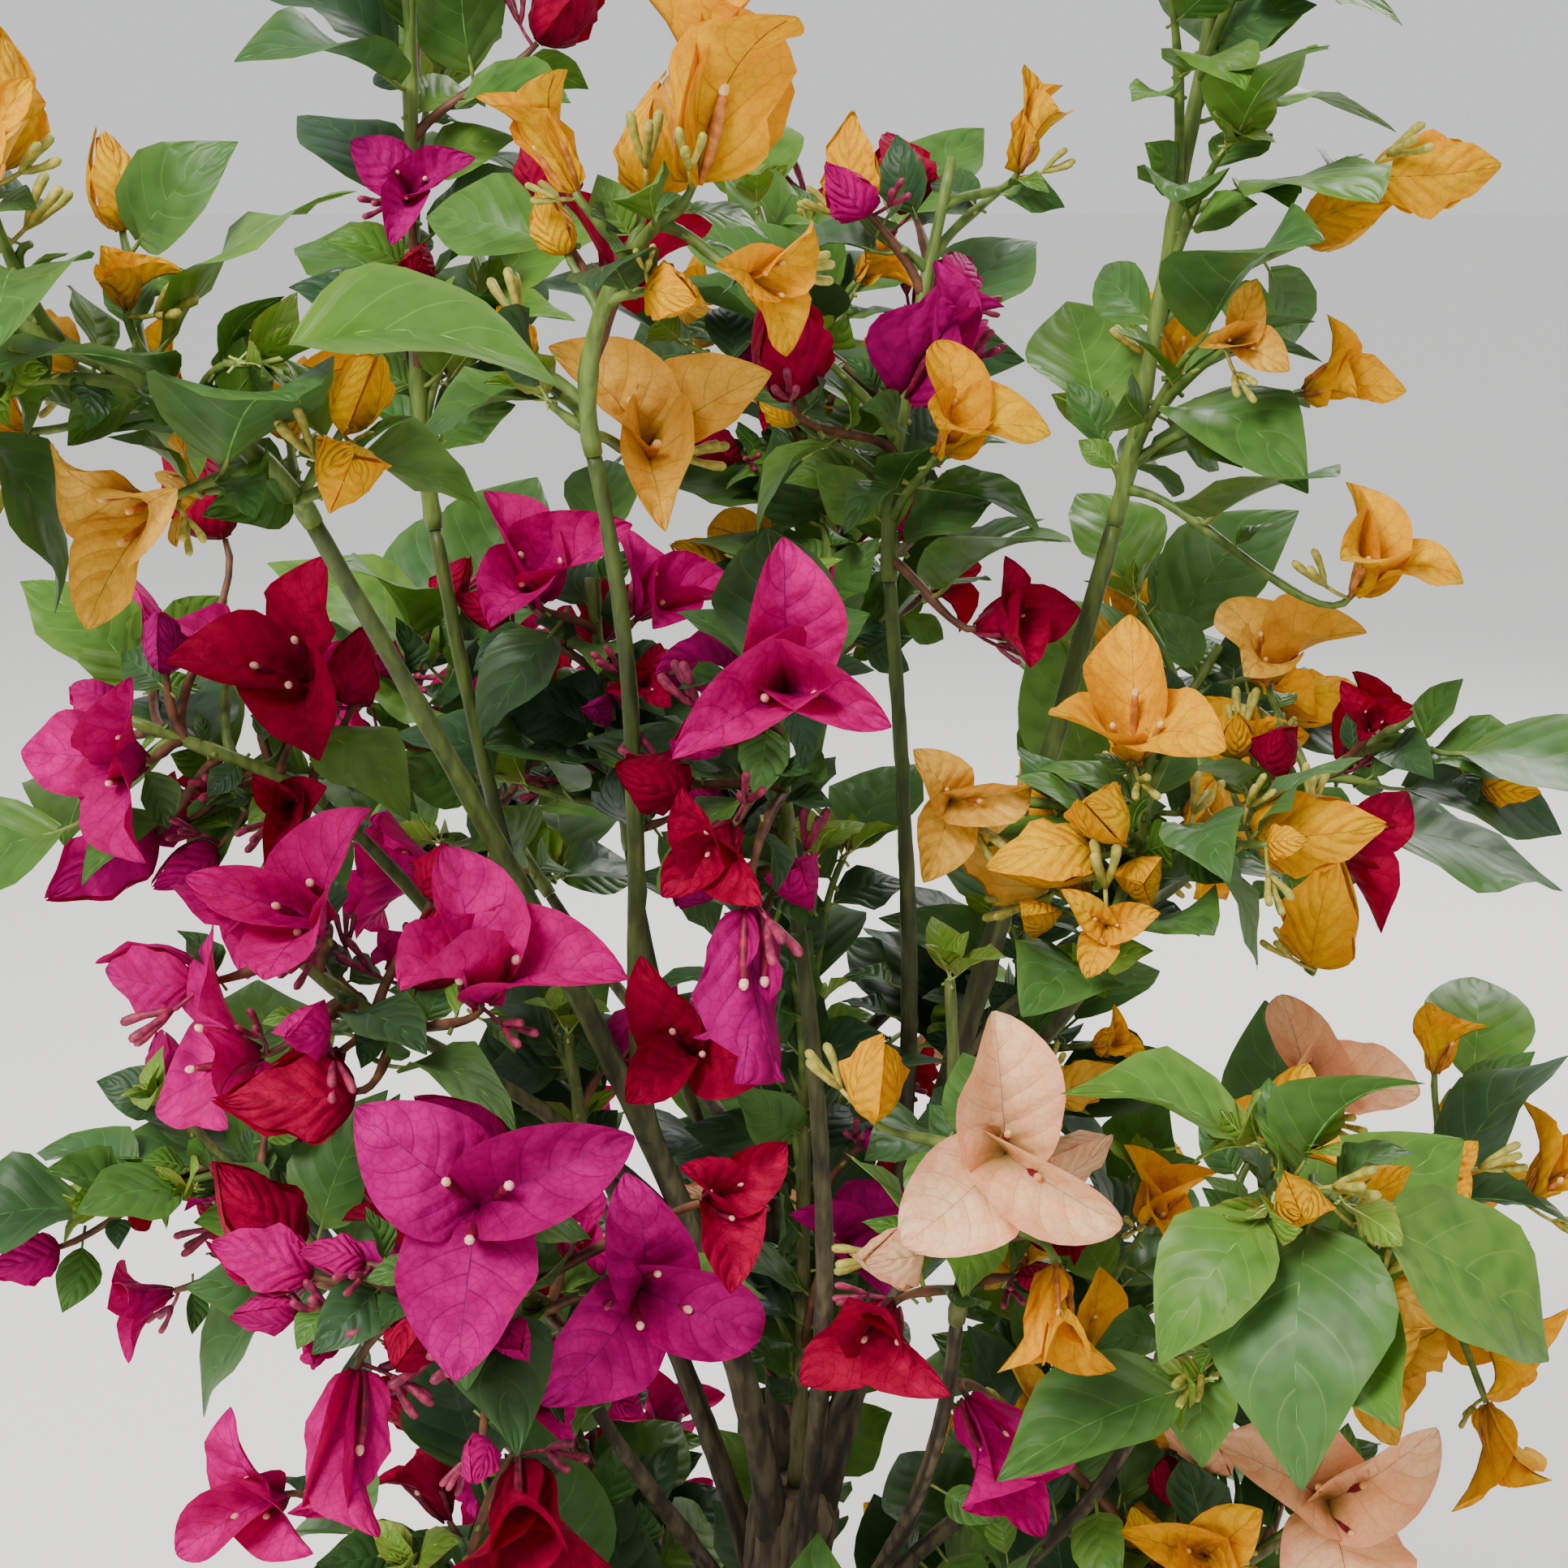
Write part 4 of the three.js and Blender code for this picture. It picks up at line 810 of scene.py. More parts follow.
@dataclass
class Growth:
    """Grows every spray by the source's rule, then finer leaves in the room that is left.

    Lengths are in millimetres. A pair is a least value and what the dice may add to it. The veil is the room
    before an open blossom: where it starts and ends ahead of it and how wide it is, as shares of its bracts.
    """

    fine_step: float = 9.0
    fine_length: float = 46.0
    fine_tries: int = 7
    bough_step: float = 9.0
    bough_tries: int = 12
    bloom_share: float = 3.2
    bloom_tries: int = 20
    sparse: tuple[str, ...] = ("left_leader", "right_leader")
    sparse_step: float = 30.0
    bloom_seed: int = 61
    fine_seed: int = 71
    bough_seed: int = 13
    shell_ways: int = 96
    shell_room: float = 1.5
    veil: tuple[float, float, float] = (0.1, 1.6, 0.62)
    bloom_place: tuple[float, float] = (0.15, 0.9)
    bloom_turn: float = 0.41
    bloom_lean: tuple[float, float, float] = (0.4, 0.25, 0.5)
    bloom_size: tuple[float, float] = (23, 15)
    bloom_shrink: float = 0.025
    bloom_span: tuple[float, float] = (0.2, 0.65)
    bloom_closed: float = 0.3
    bloom_opening: float = 32
    bloom_back: float = 0.15
    bough_turn: float = 0.29
    bough_lean: tuple[float, float] = (0.1, 0.25)
    bough_size: tuple[float, float] = (0.75, 0.5)
    bough_shrink: float = 0.06
    bough_gap: float = 0.6
    fine_end: float = 0.97
    fine_turn: float = 0.31
    fine_lean: tuple[float, float] = (0.2, 0.6)
    fine_lift: tuple[float, float] = (-0.15, 0.4)
    fine_size: tuple[float, float] = (0.55, 0.45)
    fine_shrink: float = 0.1
    face_up: tuple[float, float] = (0.35, 0.65)
    face_out: float = 0.7
    face_stray: float = 0.9

    def __post_init__(self) -> None:
        """Lays out the limbs, the sprays and their spaces, and grows them in the source's order."""
        self.limbs = Limbs()
        self.sprays = [Spray(name, plan, self.limbs) for name, plan in SPRAYS.items()]
        self.nodes = [f"foliage_{name}" for name in SPRAYS]
        self.space = Space(self.limbs, self.sprays)
        k = np.arange(self.shell_ways) + 0.5
        height = 1 - 2 * k / self.shell_ways
        flat = np.sqrt(1 - height**2)
        self.ways = np.stack((flat * np.cos(k * GOLDEN_ANGLE), flat * np.sin(k * GOLDEN_ANGLE), height), 1)
        seeds = [FIRST_SEED + SEED_STEP * i for i in range(len(self.sprays))]
        for spray, seed in zip(self.sprays, seeds):
            self.grow(spray, seed)
        self.inside = {spray.name: self.reach(spray) for spray in self.sprays}
        self.faces = [end for spray in self.sprays for _, end, _ in spray.twigs if end.kind is Kind.BLOSSOM]
        for spray, seed in zip(self.sprays, seeds):
            self.fill_blossoms(spray, Dice(seed + self.bloom_seed))
        self.fill_boughs(Dice(FIRST_SEED + self.bough_seed))
        for spray, seed in zip(self.sprays, seeds):
            self.fill(spray, Dice(seed + self.fine_seed))
            spray.leaves = [pair for pair in spray.leaves if self.unveiled(PROBES @ pair[0].corners())]

    def fits(self, spray: Spray, blade: Blade, corners: Array) -> bool:
        """Whether a blade keeps to the spray's space, off the limbs and out of what the spray has.

        Args:
            spray: The spray that it grows on.
            blade: The blade.
            corners: Its neck, left, right and tip corners.

        Returns:
            Whether it does.
        """
        return (
            self.space.off_limbs(blade)
            and self.space.owned(spray.name, PROBES @ corners)
            and not crosses(corners[EDGES], spray.halves)
            and not crosses(spray.segments, halves_of(blade, corners))
        )

    def keep(self, spray: Spray, blade: Blade, corners: Array) -> None:
        """Notes a blade, so that the next ones grow clear of it."""
        spray.segments = np.concatenate((spray.segments, corners[EDGES]))
        spray.halves = np.concatenate((spray.halves, halves_of(blade, corners)))

    def twig(self, spray: Spray, end: End, back: float) -> Line:
        """A twig from the stem, back from its nearest point, which arrives along what it carries.

        Args:
            spray: The spray that it grows on.
            end: What it carries.
            back: How far back along the stem it starts, as a share of the stem.

        Returns:
            The twig's line.
        """
        near = int(np.argmin(np.linalg.norm(spray.looks - end.at, axis=1)))
        share = max(TWIG_FIRST, near / LOOKS - back)
        start = spray.stem.on(share)
        span = float(np.linalg.norm(end.at - start))
        leave = start + (end.at - start) * TWIG_REACH + spray.stem.curve.tangents(share) * span * TWIG_LEAN
        curve = Curve(start, leave, end.at - end.face * span * TWIG_ARRIVAL, end.at)
        return Line(curve, max(2, nearest_whole(curve.length() / INTERNODE)))

    def twig_fits(self, spray: Spray, line: Line) -> bool:
        """Whether a twig keeps to the spray's space, off the bark and out of the spray's blades.

        Args:
            spray: The spray that it grows on.
            line: The twig's line.

        Returns:
            Whether it does.
        """
        pairs = line.pairs()
        ends = pairs[1:].reshape(-1, 3)
        first = pairs[0, 0] + (pairs[0, 1] - pairs[0, 0]) * TWIG_ROOT
        points = np.concatenate((ends, pairs[1:].mean(1), first[None]))
        if not self.space.owned(spray.name, points) or not self.space.clear(points):
            return False
        return not crosses(pairs[1:], spray.halves)

    def leaves_at(self, spray: Spray, line: Line, count: int, turn: float, dice: Dice) -> None:
        """Leaves at a line's inner points, one at each where it fits, from side to side of the line.

        Args:
            spray: The spray that they grow on.
            line: Its stem or one of its twigs.
            count: How many sides the leaves take in turn.
            turn: The angle that the first side is turned by.
            dice: Where the chances come from.
        """
        for i in range(1, len(line.at) - 1):
            for tries in range(LEAF_TRIES):
                side = (i + tries + tries // count) % count
                out = around(line.sides[i], turn + side * 2 * math.pi / count)
                heading = out + line.along[i] * dice.above(*LEAF_LEAN)
                heading = heading + UP * dice.above(*LEAF_LIFT)
                face = UP + out * LEAF_OUT + LEAF_FRONT
                size = LEAF_LENGTH * dice.above(*LEAF_SIZE) * (1 - LEAF_SHRINK * (tries / LEAF_TRIES))
                blade = leaf_blade(line.at[i], heading, face, size)
                if self.add_leaf(spray, blade):
                    break

    def add_leaf(self, spray: Spray, blade: Blade, inside: Array | None = None) -> bool:
        """Adds a leaf if it fits, and tells whether it did. With inside, its corners stay within reach.

        Args:
            spray: The spray that it grows on.
            blade: The blade.
            inside: The spray's reach in every way, for the finer leaves.

        Returns:
            Whether it was added.
        """
        corners = blade.corners()
        if inside is not None and not self.within(corners, inside, PROBES @ corners):
            return False
        if not self.fits(spray, blade, corners):
            return False
        self.keep(spray, blade, corners)
        greens = spray.plan.greens
        spray.leaves.append((blade, greens[len(spray.leaves) % len(greens)]))
        spray.shell.append(corners)
        return True

    def within(self, corners: Array, inside: Array, probes: Array) -> bool:
        """Whether corners stay within a spray's reach, and probes clear of the open blossoms' faces."""
        return bool((corners @ self.ways.T <= inside).all()) and self.unveiled(probes)

    def grow_twig(self, spray: Spray, end: End, dice: Dice, back: float, inside: Array | None = None) -> bool:
        """Grows a twig with what it carries and its leaves, unless it would leave the space or cut another.

        Args:
            spray: The spray that it grows on.
            end: What it carries.
            dice: Where its chances come from.
            back: How far back along the stem it starts, as a share of the stem.
            inside: The spray's reach in every way, for the finer twigs.

        Returns:
            Whether it was grown.
        """
        turn = dice.roll() * 2 * math.pi
        toward = replace(end, face=unit(end.face))
        line = self.twig(spray, toward, back)
        if end.kind is Kind.LEAF:
            blades = [leaf_blade(end.at, toward.face, LEAF_FACE, end.size)]
        else:
            blades = bract_blades(toward, turn)
        corners = [blade.corners() for blade in blades]
        if inside is not None:
            probes = np.concatenate([PROBES @ own for own in corners])
            if not self.within(np.concatenate(corners), inside, probes):
                return False
        if not self.twig_fits(spray, line):
            return False
        if not all(self.fits(spray, *both) for both in zip(blades, corners)):
            return False
        spray.segments = np.concatenate((spray.segments, line.pairs()))
        for blade, its_corners in zip(blades, corners):
            self.keep(spray, blade, its_corners)
            spray.shell.append(its_corners)
        if end.kind is Kind.LEAF:
            spray.leaves.append((blades[0], end.green or spray.plan.greens[0]))
        spray.twigs.append((line, toward, turn))
        if inside is not None and end.kind is Kind.BLOSSOM:
            self.faces.append(toward)
        self.leaves_at(spray, line, TWIG_SIDES, turn, dice)
        return True

    def ruled_end(self, spray: Spray, i: int, tries: int, dice: Dice) -> End:
        """The end of the i-th twig of the rule: they go round the stem by the golden angle.

        Args:
            spray: The spray that it grows on.
            i: The twig's number.
            tries: How often it has been tried before.
            dice: Where the chances come from.

        Returns:
            What the twig carries.
        """
        plan = spray.plan
        share = min(1.0, TWIG_START + dice.above(i, TWIG_PLACE) / plan.twigs)
        along = spray.stem.curve.tangents(share)
        angle = dice.above((i + TWIG_TURN * tries) * GOLDEN_ANGLE, TWIG_SPREAD)
        out = around(square_to(along, UP), angle)
        face = unit(out + along * TWIG_FORWARD + UP * TWIG_UP)
        shrink = tries / RULED_TRIES
        size = dice.above(*BLOSSOM_SIZE) * (1 - BLOSSOM_SHRINK * shrink)
        far = plan.reach * dice.above(*TWIG_SPAN) * (1 - TWIG_SHRINK * shrink) - size * 0.5
        at = spray.stem.on(share) + out * far
        if dice.roll() >= plan.bloom:
            green = plan.greens[i % len(plan.greens)]
            return End(Kind.LEAF, at, face, size * LEAF_FOR_BLOSSOM, 0.0, None, green)
        shade = plan.shades[i % len(plan.shades)]
        return rolled_blossom(at, face, size, shade, CLOSED_CHANCE, RULED_OPENING, dice)

    def grow(self, spray: Spray, seed: int) -> None:
        """Grows a spray as the source does: its named twigs, the rule's twigs, then its stem's leaves.

        Args:
            spray: The spray.
            seed: Its seed.
        """
        for i, end in enumerate(spray.plan.named):
            dice = Dice(seed + i)
            for tries in range(NAMED_TRIES):
                smaller = replace(end, size=end.size * (1 - NAMED_SHRINK * (tries // NAMED_ROUND)))
                back = NAMED_BACK + NAMED_BACK_STEP * (tries % NAMED_ROUND)
                if self.grow_twig(spray, smaller, dice, back):
                    break
        for i in range(spray.plan.twigs):
            dice = Dice(seed + RULED_SEED + i)
            for tries in range(RULED_TRIES):
                if self.grow_twig(spray, self.ruled_end(spray, i, tries, dice), dice, TWIG_BACK):
                    break
        self.leaves_at(spray, spray.stem, STEM_SIDES, 0.0, Dice(seed + STEM_SEED))

    def unveiled(self, points: Array) -> bool:
        """Whether all points leave the room before the open blossoms' faces free.

        Args:
            points: The points to test.

        Returns:
            Whether they do.
        """
        at, face = (np.array([getattr(end, name) for end in self.faces]) for name in ("at", "face"))
        size = np.array([end.size for end in self.faces])
        gap = points[:, None] - at
        ahead = (gap * face).sum(-1)
        aside = np.linalg.norm(gap - ahead[..., None] * face, axis=-1)
        near, far, wide = (share * size for share in self.veil)
        return not ((ahead > near) & (ahead < far) & (aside < wide)).any()

    def reach(self, spray: Spray) -> Array:
        """How far the spray's own solids reach in every way, with a little room."""
        return (np.concatenate(spray.shell) @ self.ways.T).max(0) + self.shell_room

    def finer_face(self, out: Array, dice: Dice) -> Array:
        """The way a finer leaf faces: up and outwards, each a little different."""
        up = UP * dice.above(*self.face_up)
        return up + out * self.face_out + np.array((dice.roll() - 0.5, -0.35, 0)) * self.face_stray

    def fill_blossoms(self, spray: Spray, dice: Dice) -> None:
        """Adds smaller blossoms on short twigs of their own, none further out than the source's own.

        Args:
            spray: The spray that they grow on.
            dice: Where the chances come from.
        """
        plan = spray.plan
        for i in range(nearest_whole(plan.bloom * (plan.twigs + 3 + len(plan.named)) * self.bloom_share)):
            for tries in range(self.bloom_tries):
                share = min(1.0, dice.above(*self.bloom_place))
                along = spray.stem.curve.tangents(share)
                angle = (i + self.bloom_turn * tries) * GOLDEN_ANGLE + dice.roll()
                out = around(square_to(along, UP), angle)
                on, up, front = self.bloom_lean
                face = unit(out + along * on + UP * up + np.array((0, -front, 0)))
                size = dice.above(*self.bloom_size) * (1 - self.bloom_shrink * tries)
                at = spray.stem.on(share) + out * plan.reach * dice.above(*self.bloom_span)
                shade = plan.shades[(i + 1) % len(plan.shades)]
                end = rolled_blossom(at, face, size, shade, self.bloom_closed, self.bloom_opening, dice)
                if self.grow_twig(spray, end, dice, self.bloom_back, self.inside[spray.name]):
                    break

    def owner(self, points: Array) -> Spray | None:
        """The spray whose space holds all the points, if there is one.

        Args:
            points: The points to test.

        Returns:
            The spray, or None where no space holds them all.
        """
        gaps = np.linalg.norm(points[:, None] - self.space.posts, axis=2)
        near = gaps.argmin(1)
        for spray in self.sprays:
            own = self.space.own[spray.name]
            if own[near].all():
                return spray
        return None

    def fill_boughs(self, dice: Dice) -> None:
        """Adds leaves that spring straight from the boughs, in whichever spray's space they lie.

        Args:
            dice: Where the chances come from.
        """
        for name in BOUGHS:
            curve, radii = self.limbs.curves[name], self.limbs.radii[name]
            steps = int(curve.length() / self.bough_step)
            for k in range(3, steps):
                share = (k + 0.5 * dice.roll()) / steps
                at, along = curve.points(share), curve.tangents(share)
                radius = radii[0] + (radii[1] - radii[0]) * share
                for tries in range(self.bough_tries):
                    angle = (k + self.bough_turn * tries) * GOLDEN_ANGLE + dice.roll()
                    out = around(square_to(along, UP), angle)
                    foot = at + out * (radius + LIMB_MARGIN + self.bough_gap)
                    heading = out + along * dice.above(*self.bough_lean)
                    size = self.fine_length * dice.above(*self.bough_size) * (1 - self.bough_shrink * tries)
                    blade = leaf_blade(foot, heading, self.finer_face(out, dice), size)
                    spray = self.owner(PROBES @ blade.corners())
                    if spray is not None and self.add_leaf(spray, blade, self.inside[spray.name]):
                        break

    def fill(self, spray: Spray, dice: Dice) -> None:
        """Adds finer leaves all along the stem and twigs, none further out than the source's own.

        Args:
            spray: The spray that they grow on.
            dice: Where the chances come from.
        """
        step = self.sparse_step if spray.name in self.sparse else self.fine_step
        for line in [spray.stem] + [twig for twig, _, _ in spray.twigs]:
            steps = max(3, int(line.curve.length() / step))
            for k in range(1, steps):
                share = min(self.fine_end, (k + 0.4 * dice.roll()) / steps)
                at, along = line.curve.points(share), line.curve.tangents(share)
                for tries in range(self.fine_tries):
                    angle = (k + self.fine_turn * tries) * GOLDEN_ANGLE + 0.6 * dice.roll()
                    out = around(square_to(along, UP), angle)
                    heading = out + along * dice.above(*self.fine_lean) + UP * dice.above(*self.fine_lift)
                    size = self.fine_length * dice.above(*self.fine_size) * (1 - self.fine_shrink * tries)
                    blade = leaf_blade(at, heading, self.finer_face(out, dice), size)
                    if self.add_leaf(spray, blade, self.inside[spray.name]):
                        break


@dataclass(frozen=True)
class Detail:
    """How finely a blade is divided: rows along it, columns across it and the points of its midrib."""

    rows: int
    columns: int
    midrib: int


FLAT = "flat"
PLACE = "place"


class Skin:
    """A mesh in the making: corners, faces and sharp edges of many closed shapes, in millimetres."""

    def __init__(self) -> None:
        """Starts empty."""
        self.points: list[Array] = []
        self.quads: list[Array] = []
        self.triangles: list[Array] = []
        self.sharp: list[Array] = []
        self.marks: list[Array] = []
        self.count = 0

    def add(
        self, points: Array, quads: Array, triangles: Array | None = None,
        sharp: Array | None = None, marks: Array | None = None,
    ) -> None:
        """Adds a batch of shapes with the same faces.

        Args:
            points: The corners, a row for each shape.
            quads: Four-sided faces of one shape.
            triangles: Its three-sided faces.
            sharp: Its edges where the shading breaks.
            marks: Six numbers for each corner, for the attributes that the finishes read.
        """
        batch, corners = points.shape[:2]
        start = (self.count + np.arange(batch) * corners)[:, None, None]
        self.points.append(points.reshape(-1, 3))
        for parts, own in ((self.quads, quads), (self.triangles, triangles), (self.sharp, sharp)):
            if own is not None and len(own):
                parts.append((own[None] + start).reshape(-1, own.shape[1]))
        self.marks.append(np.zeros((batch * corners, 6)) if marks is None else marks.reshape(-1, 6))
        self.count += batch * corners

    def triangle_count(self) -> int:
        """How many triangles the mesh comes to."""
        return sum(len(part) * 2 for part in self.quads) + sum(len(part) for part in self.triangles)

    def build(self, name: str, finish: "Wood | Thin | Stalk", slot: str, nodes: list[str]) -> None:
        """Makes the piece, in metres and at the origin, that rides on the plant's body.

        Args:
            name: The piece's name.
            finish: Its finish.
            slot: A material slot of the record; not used.
            nodes: The solids that it stands for.
        """
        mesh = bpy.data.meshes.new(name)
        points = np.concatenate(self.points) * MM
        loops, sizes = [], []
        for parts, size in ((self.quads, 4), (self.triangles, 3)):
            if parts:
                corners = np.concatenate(parts)
                loops.append(corners.ravel())
                sizes.append(np.full(len(corners), size))
        corners, sizes = np.concatenate(loops), np.concatenate(sizes)
        mesh.vertices.add(len(points))
        mesh.vertices.foreach_set("co", points.ravel().astype(np.float32))
        mesh.loops.add(len(corners))
        mesh.loops.foreach_set("vertex_index", corners.astype(np.int32))
        mesh.polygons.add(len(sizes))
        mesh.polygons.foreach_set("loop_start", (np.cumsum(sizes) - sizes).astype(np.int32))
        mesh.polygons.foreach_set("use_smooth", np.ones(len(sizes), bool))
        mesh.update(calc_edges=True)
        marks = np.concatenate(self.marks).astype(np.float32)
        if marks.any():
            for label, own in ((FLAT, marks[:, :3]), (PLACE, marks[:, 3:])):
                mesh.attributes.new(label, "FLOAT_VECTOR", "POINT").data.foreach_set("vector", own.ravel())
        if self.sharp:
            self.mark_sharp(mesh)
        mesh.materials.append(finish.material(name))
        piece = bpy.data.objects.new(name, mesh)
        bpy.context.scene.collection.objects.link(piece)
        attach(piece, BODY)
        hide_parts(*nodes)
        LOG.info("%s: %d triangles", name, self.triangle_count())

    def mark_sharp(self, mesh: bpy.types.Mesh) -> None:
        """Marks the mesh's edges that are among the sharp ones.

        Args:
            mesh: The mesh that was made from this one's corners.
        """
        edges = np.zeros(len(mesh.edges) * 2, np.int32)
        mesh.edges.foreach_get("vertices", edges)
        keys = [np.sort(pairs.reshape(-1, 2).astype(np.int64), 1) @ (self.count, 1)
                for pairs in (edges, np.concatenate(self.sharp))]
        mark = mesh.attributes.new("sharp_edge", "BOOLEAN", "EDGE")
        mark.data.foreach_set("value", np.isin(*keys))


def blade_faces(rows: int, columns: int) -> tuple[Array, Array, Array]:
    """The faces of a thin closed blade: an upper and an under side over one grid, which meet all round.

    Args:
        rows: Grid points along the blade.
        columns: Grid points across it.

    Returns:
        Which grid points have a corner of their own on the under side, the quads, and the rim's edges.
    """
    upper = np.arange(rows * columns).reshape(rows, columns)
    inner = np.zeros((rows, columns), bool)
    inner[1:-1, 1:-1] = True
    under = upper.copy()
    under[inner] = rows * columns + np.arange(inner.sum())
    quads = [np.stack((side[:-1, :-1], side[1:, :-1], side[1:, 1:], side[:-1, 1:]), -1).reshape(-1, 4)
             for side in (upper, under)]
    rim = [np.stack((line[:-1], line[1:]), 1) for line in (upper[0], upper[-1], upper[:, 0], upper[:, -1])]
    return inner, np.concatenate((quads[0], quads[1][:, ::-1])), np.concatenate(rim)


def tube_faces(rings: int, sides: int) -> tuple[Array, Array]:
    """The faces of a closed tube whose corners are its rings in turn, then the middles of its two ends.

    Args:
        rings: How many rings it has.
        sides: Points round each ring.

    Returns:
        The wall's quads, the first ring's first, and the triangles that close the ends.
    """
    ring = np.arange(rings * sides).reshape(rings, sides)
    turned = np.roll(ring, -1, axis=1)
    quads = np.stack((ring[:-1], turned[:-1], turned[1:], ring[1:]), -1).reshape(-1, 4)
    low, high = np.full(sides, ring.size), np.full(sides, ring.size + 1)
    ends = (np.stack((turned[0], ring[0], low), 1), np.stack((ring[-1], turned[-1], high), 1))
    return quads, np.concatenate(ends)


def sweep(skin: Skin, paths: Array, first: Array, second: Array, sides: int) -> None:
    """Adds closed bars: each path's point moved by first times cos and second times sin round each ring.

    Args:
        skin: The mesh to add to.
        paths: Points along each bar, a row for each bar.
        first: A side vector at each point, with the bar's radius as its length.
        second: The other side vector. first times second points along the path.
        sides: Points round each ring.
    """
    bars, rings = paths.shape[:2]
    angle = np.arange(sides) * 2 * np.pi / sides
    cosine, sine = np.cos(angle)[:, None], np.sin(angle)[:, None]
    wall = paths[:, :, None] + first[:, :, None] * cosine + second[:, :, None] * sine
    points = np.concatenate((wall.reshape(bars, -1, 3), paths[:, :1], paths[:, -1:]), 1)
    skin.add(points, *tube_faces(rings, sides))


def tubes(skin: Skin, paths: Array, radii: Array, sides: int) -> None:
    """Adds round bars along paths, with the radius given at each point.

    Args:
        skin: The mesh to add to.
        paths: Points along each bar, a row for each bar.
        radii: The radius at each point.
        sides: Points round each ring.
    """
    along = unit(np.gradient(paths, axis=1))
    middle = paths.shape[1] // 2
    bend = cross(paths[:, middle] - paths[:, 0], paths[:, -1] - paths[:, middle])
    spare = cross(paths[:, -1] - paths[:, 0], SPARE_SIDE)
    flat = np.linalg.norm(bend, axis=1) < 0.01 * np.linalg.norm(paths[:, -1] - paths[:, 0], axis=1) ** 2
    bend[flat] = spare[flat]
    second = unit(cross(along, cross(unit(bend)[:, None], along)))
    first = cross(second, along)
    sweep(skin, paths, first * radii[..., None], second * radii[..., None], sides)


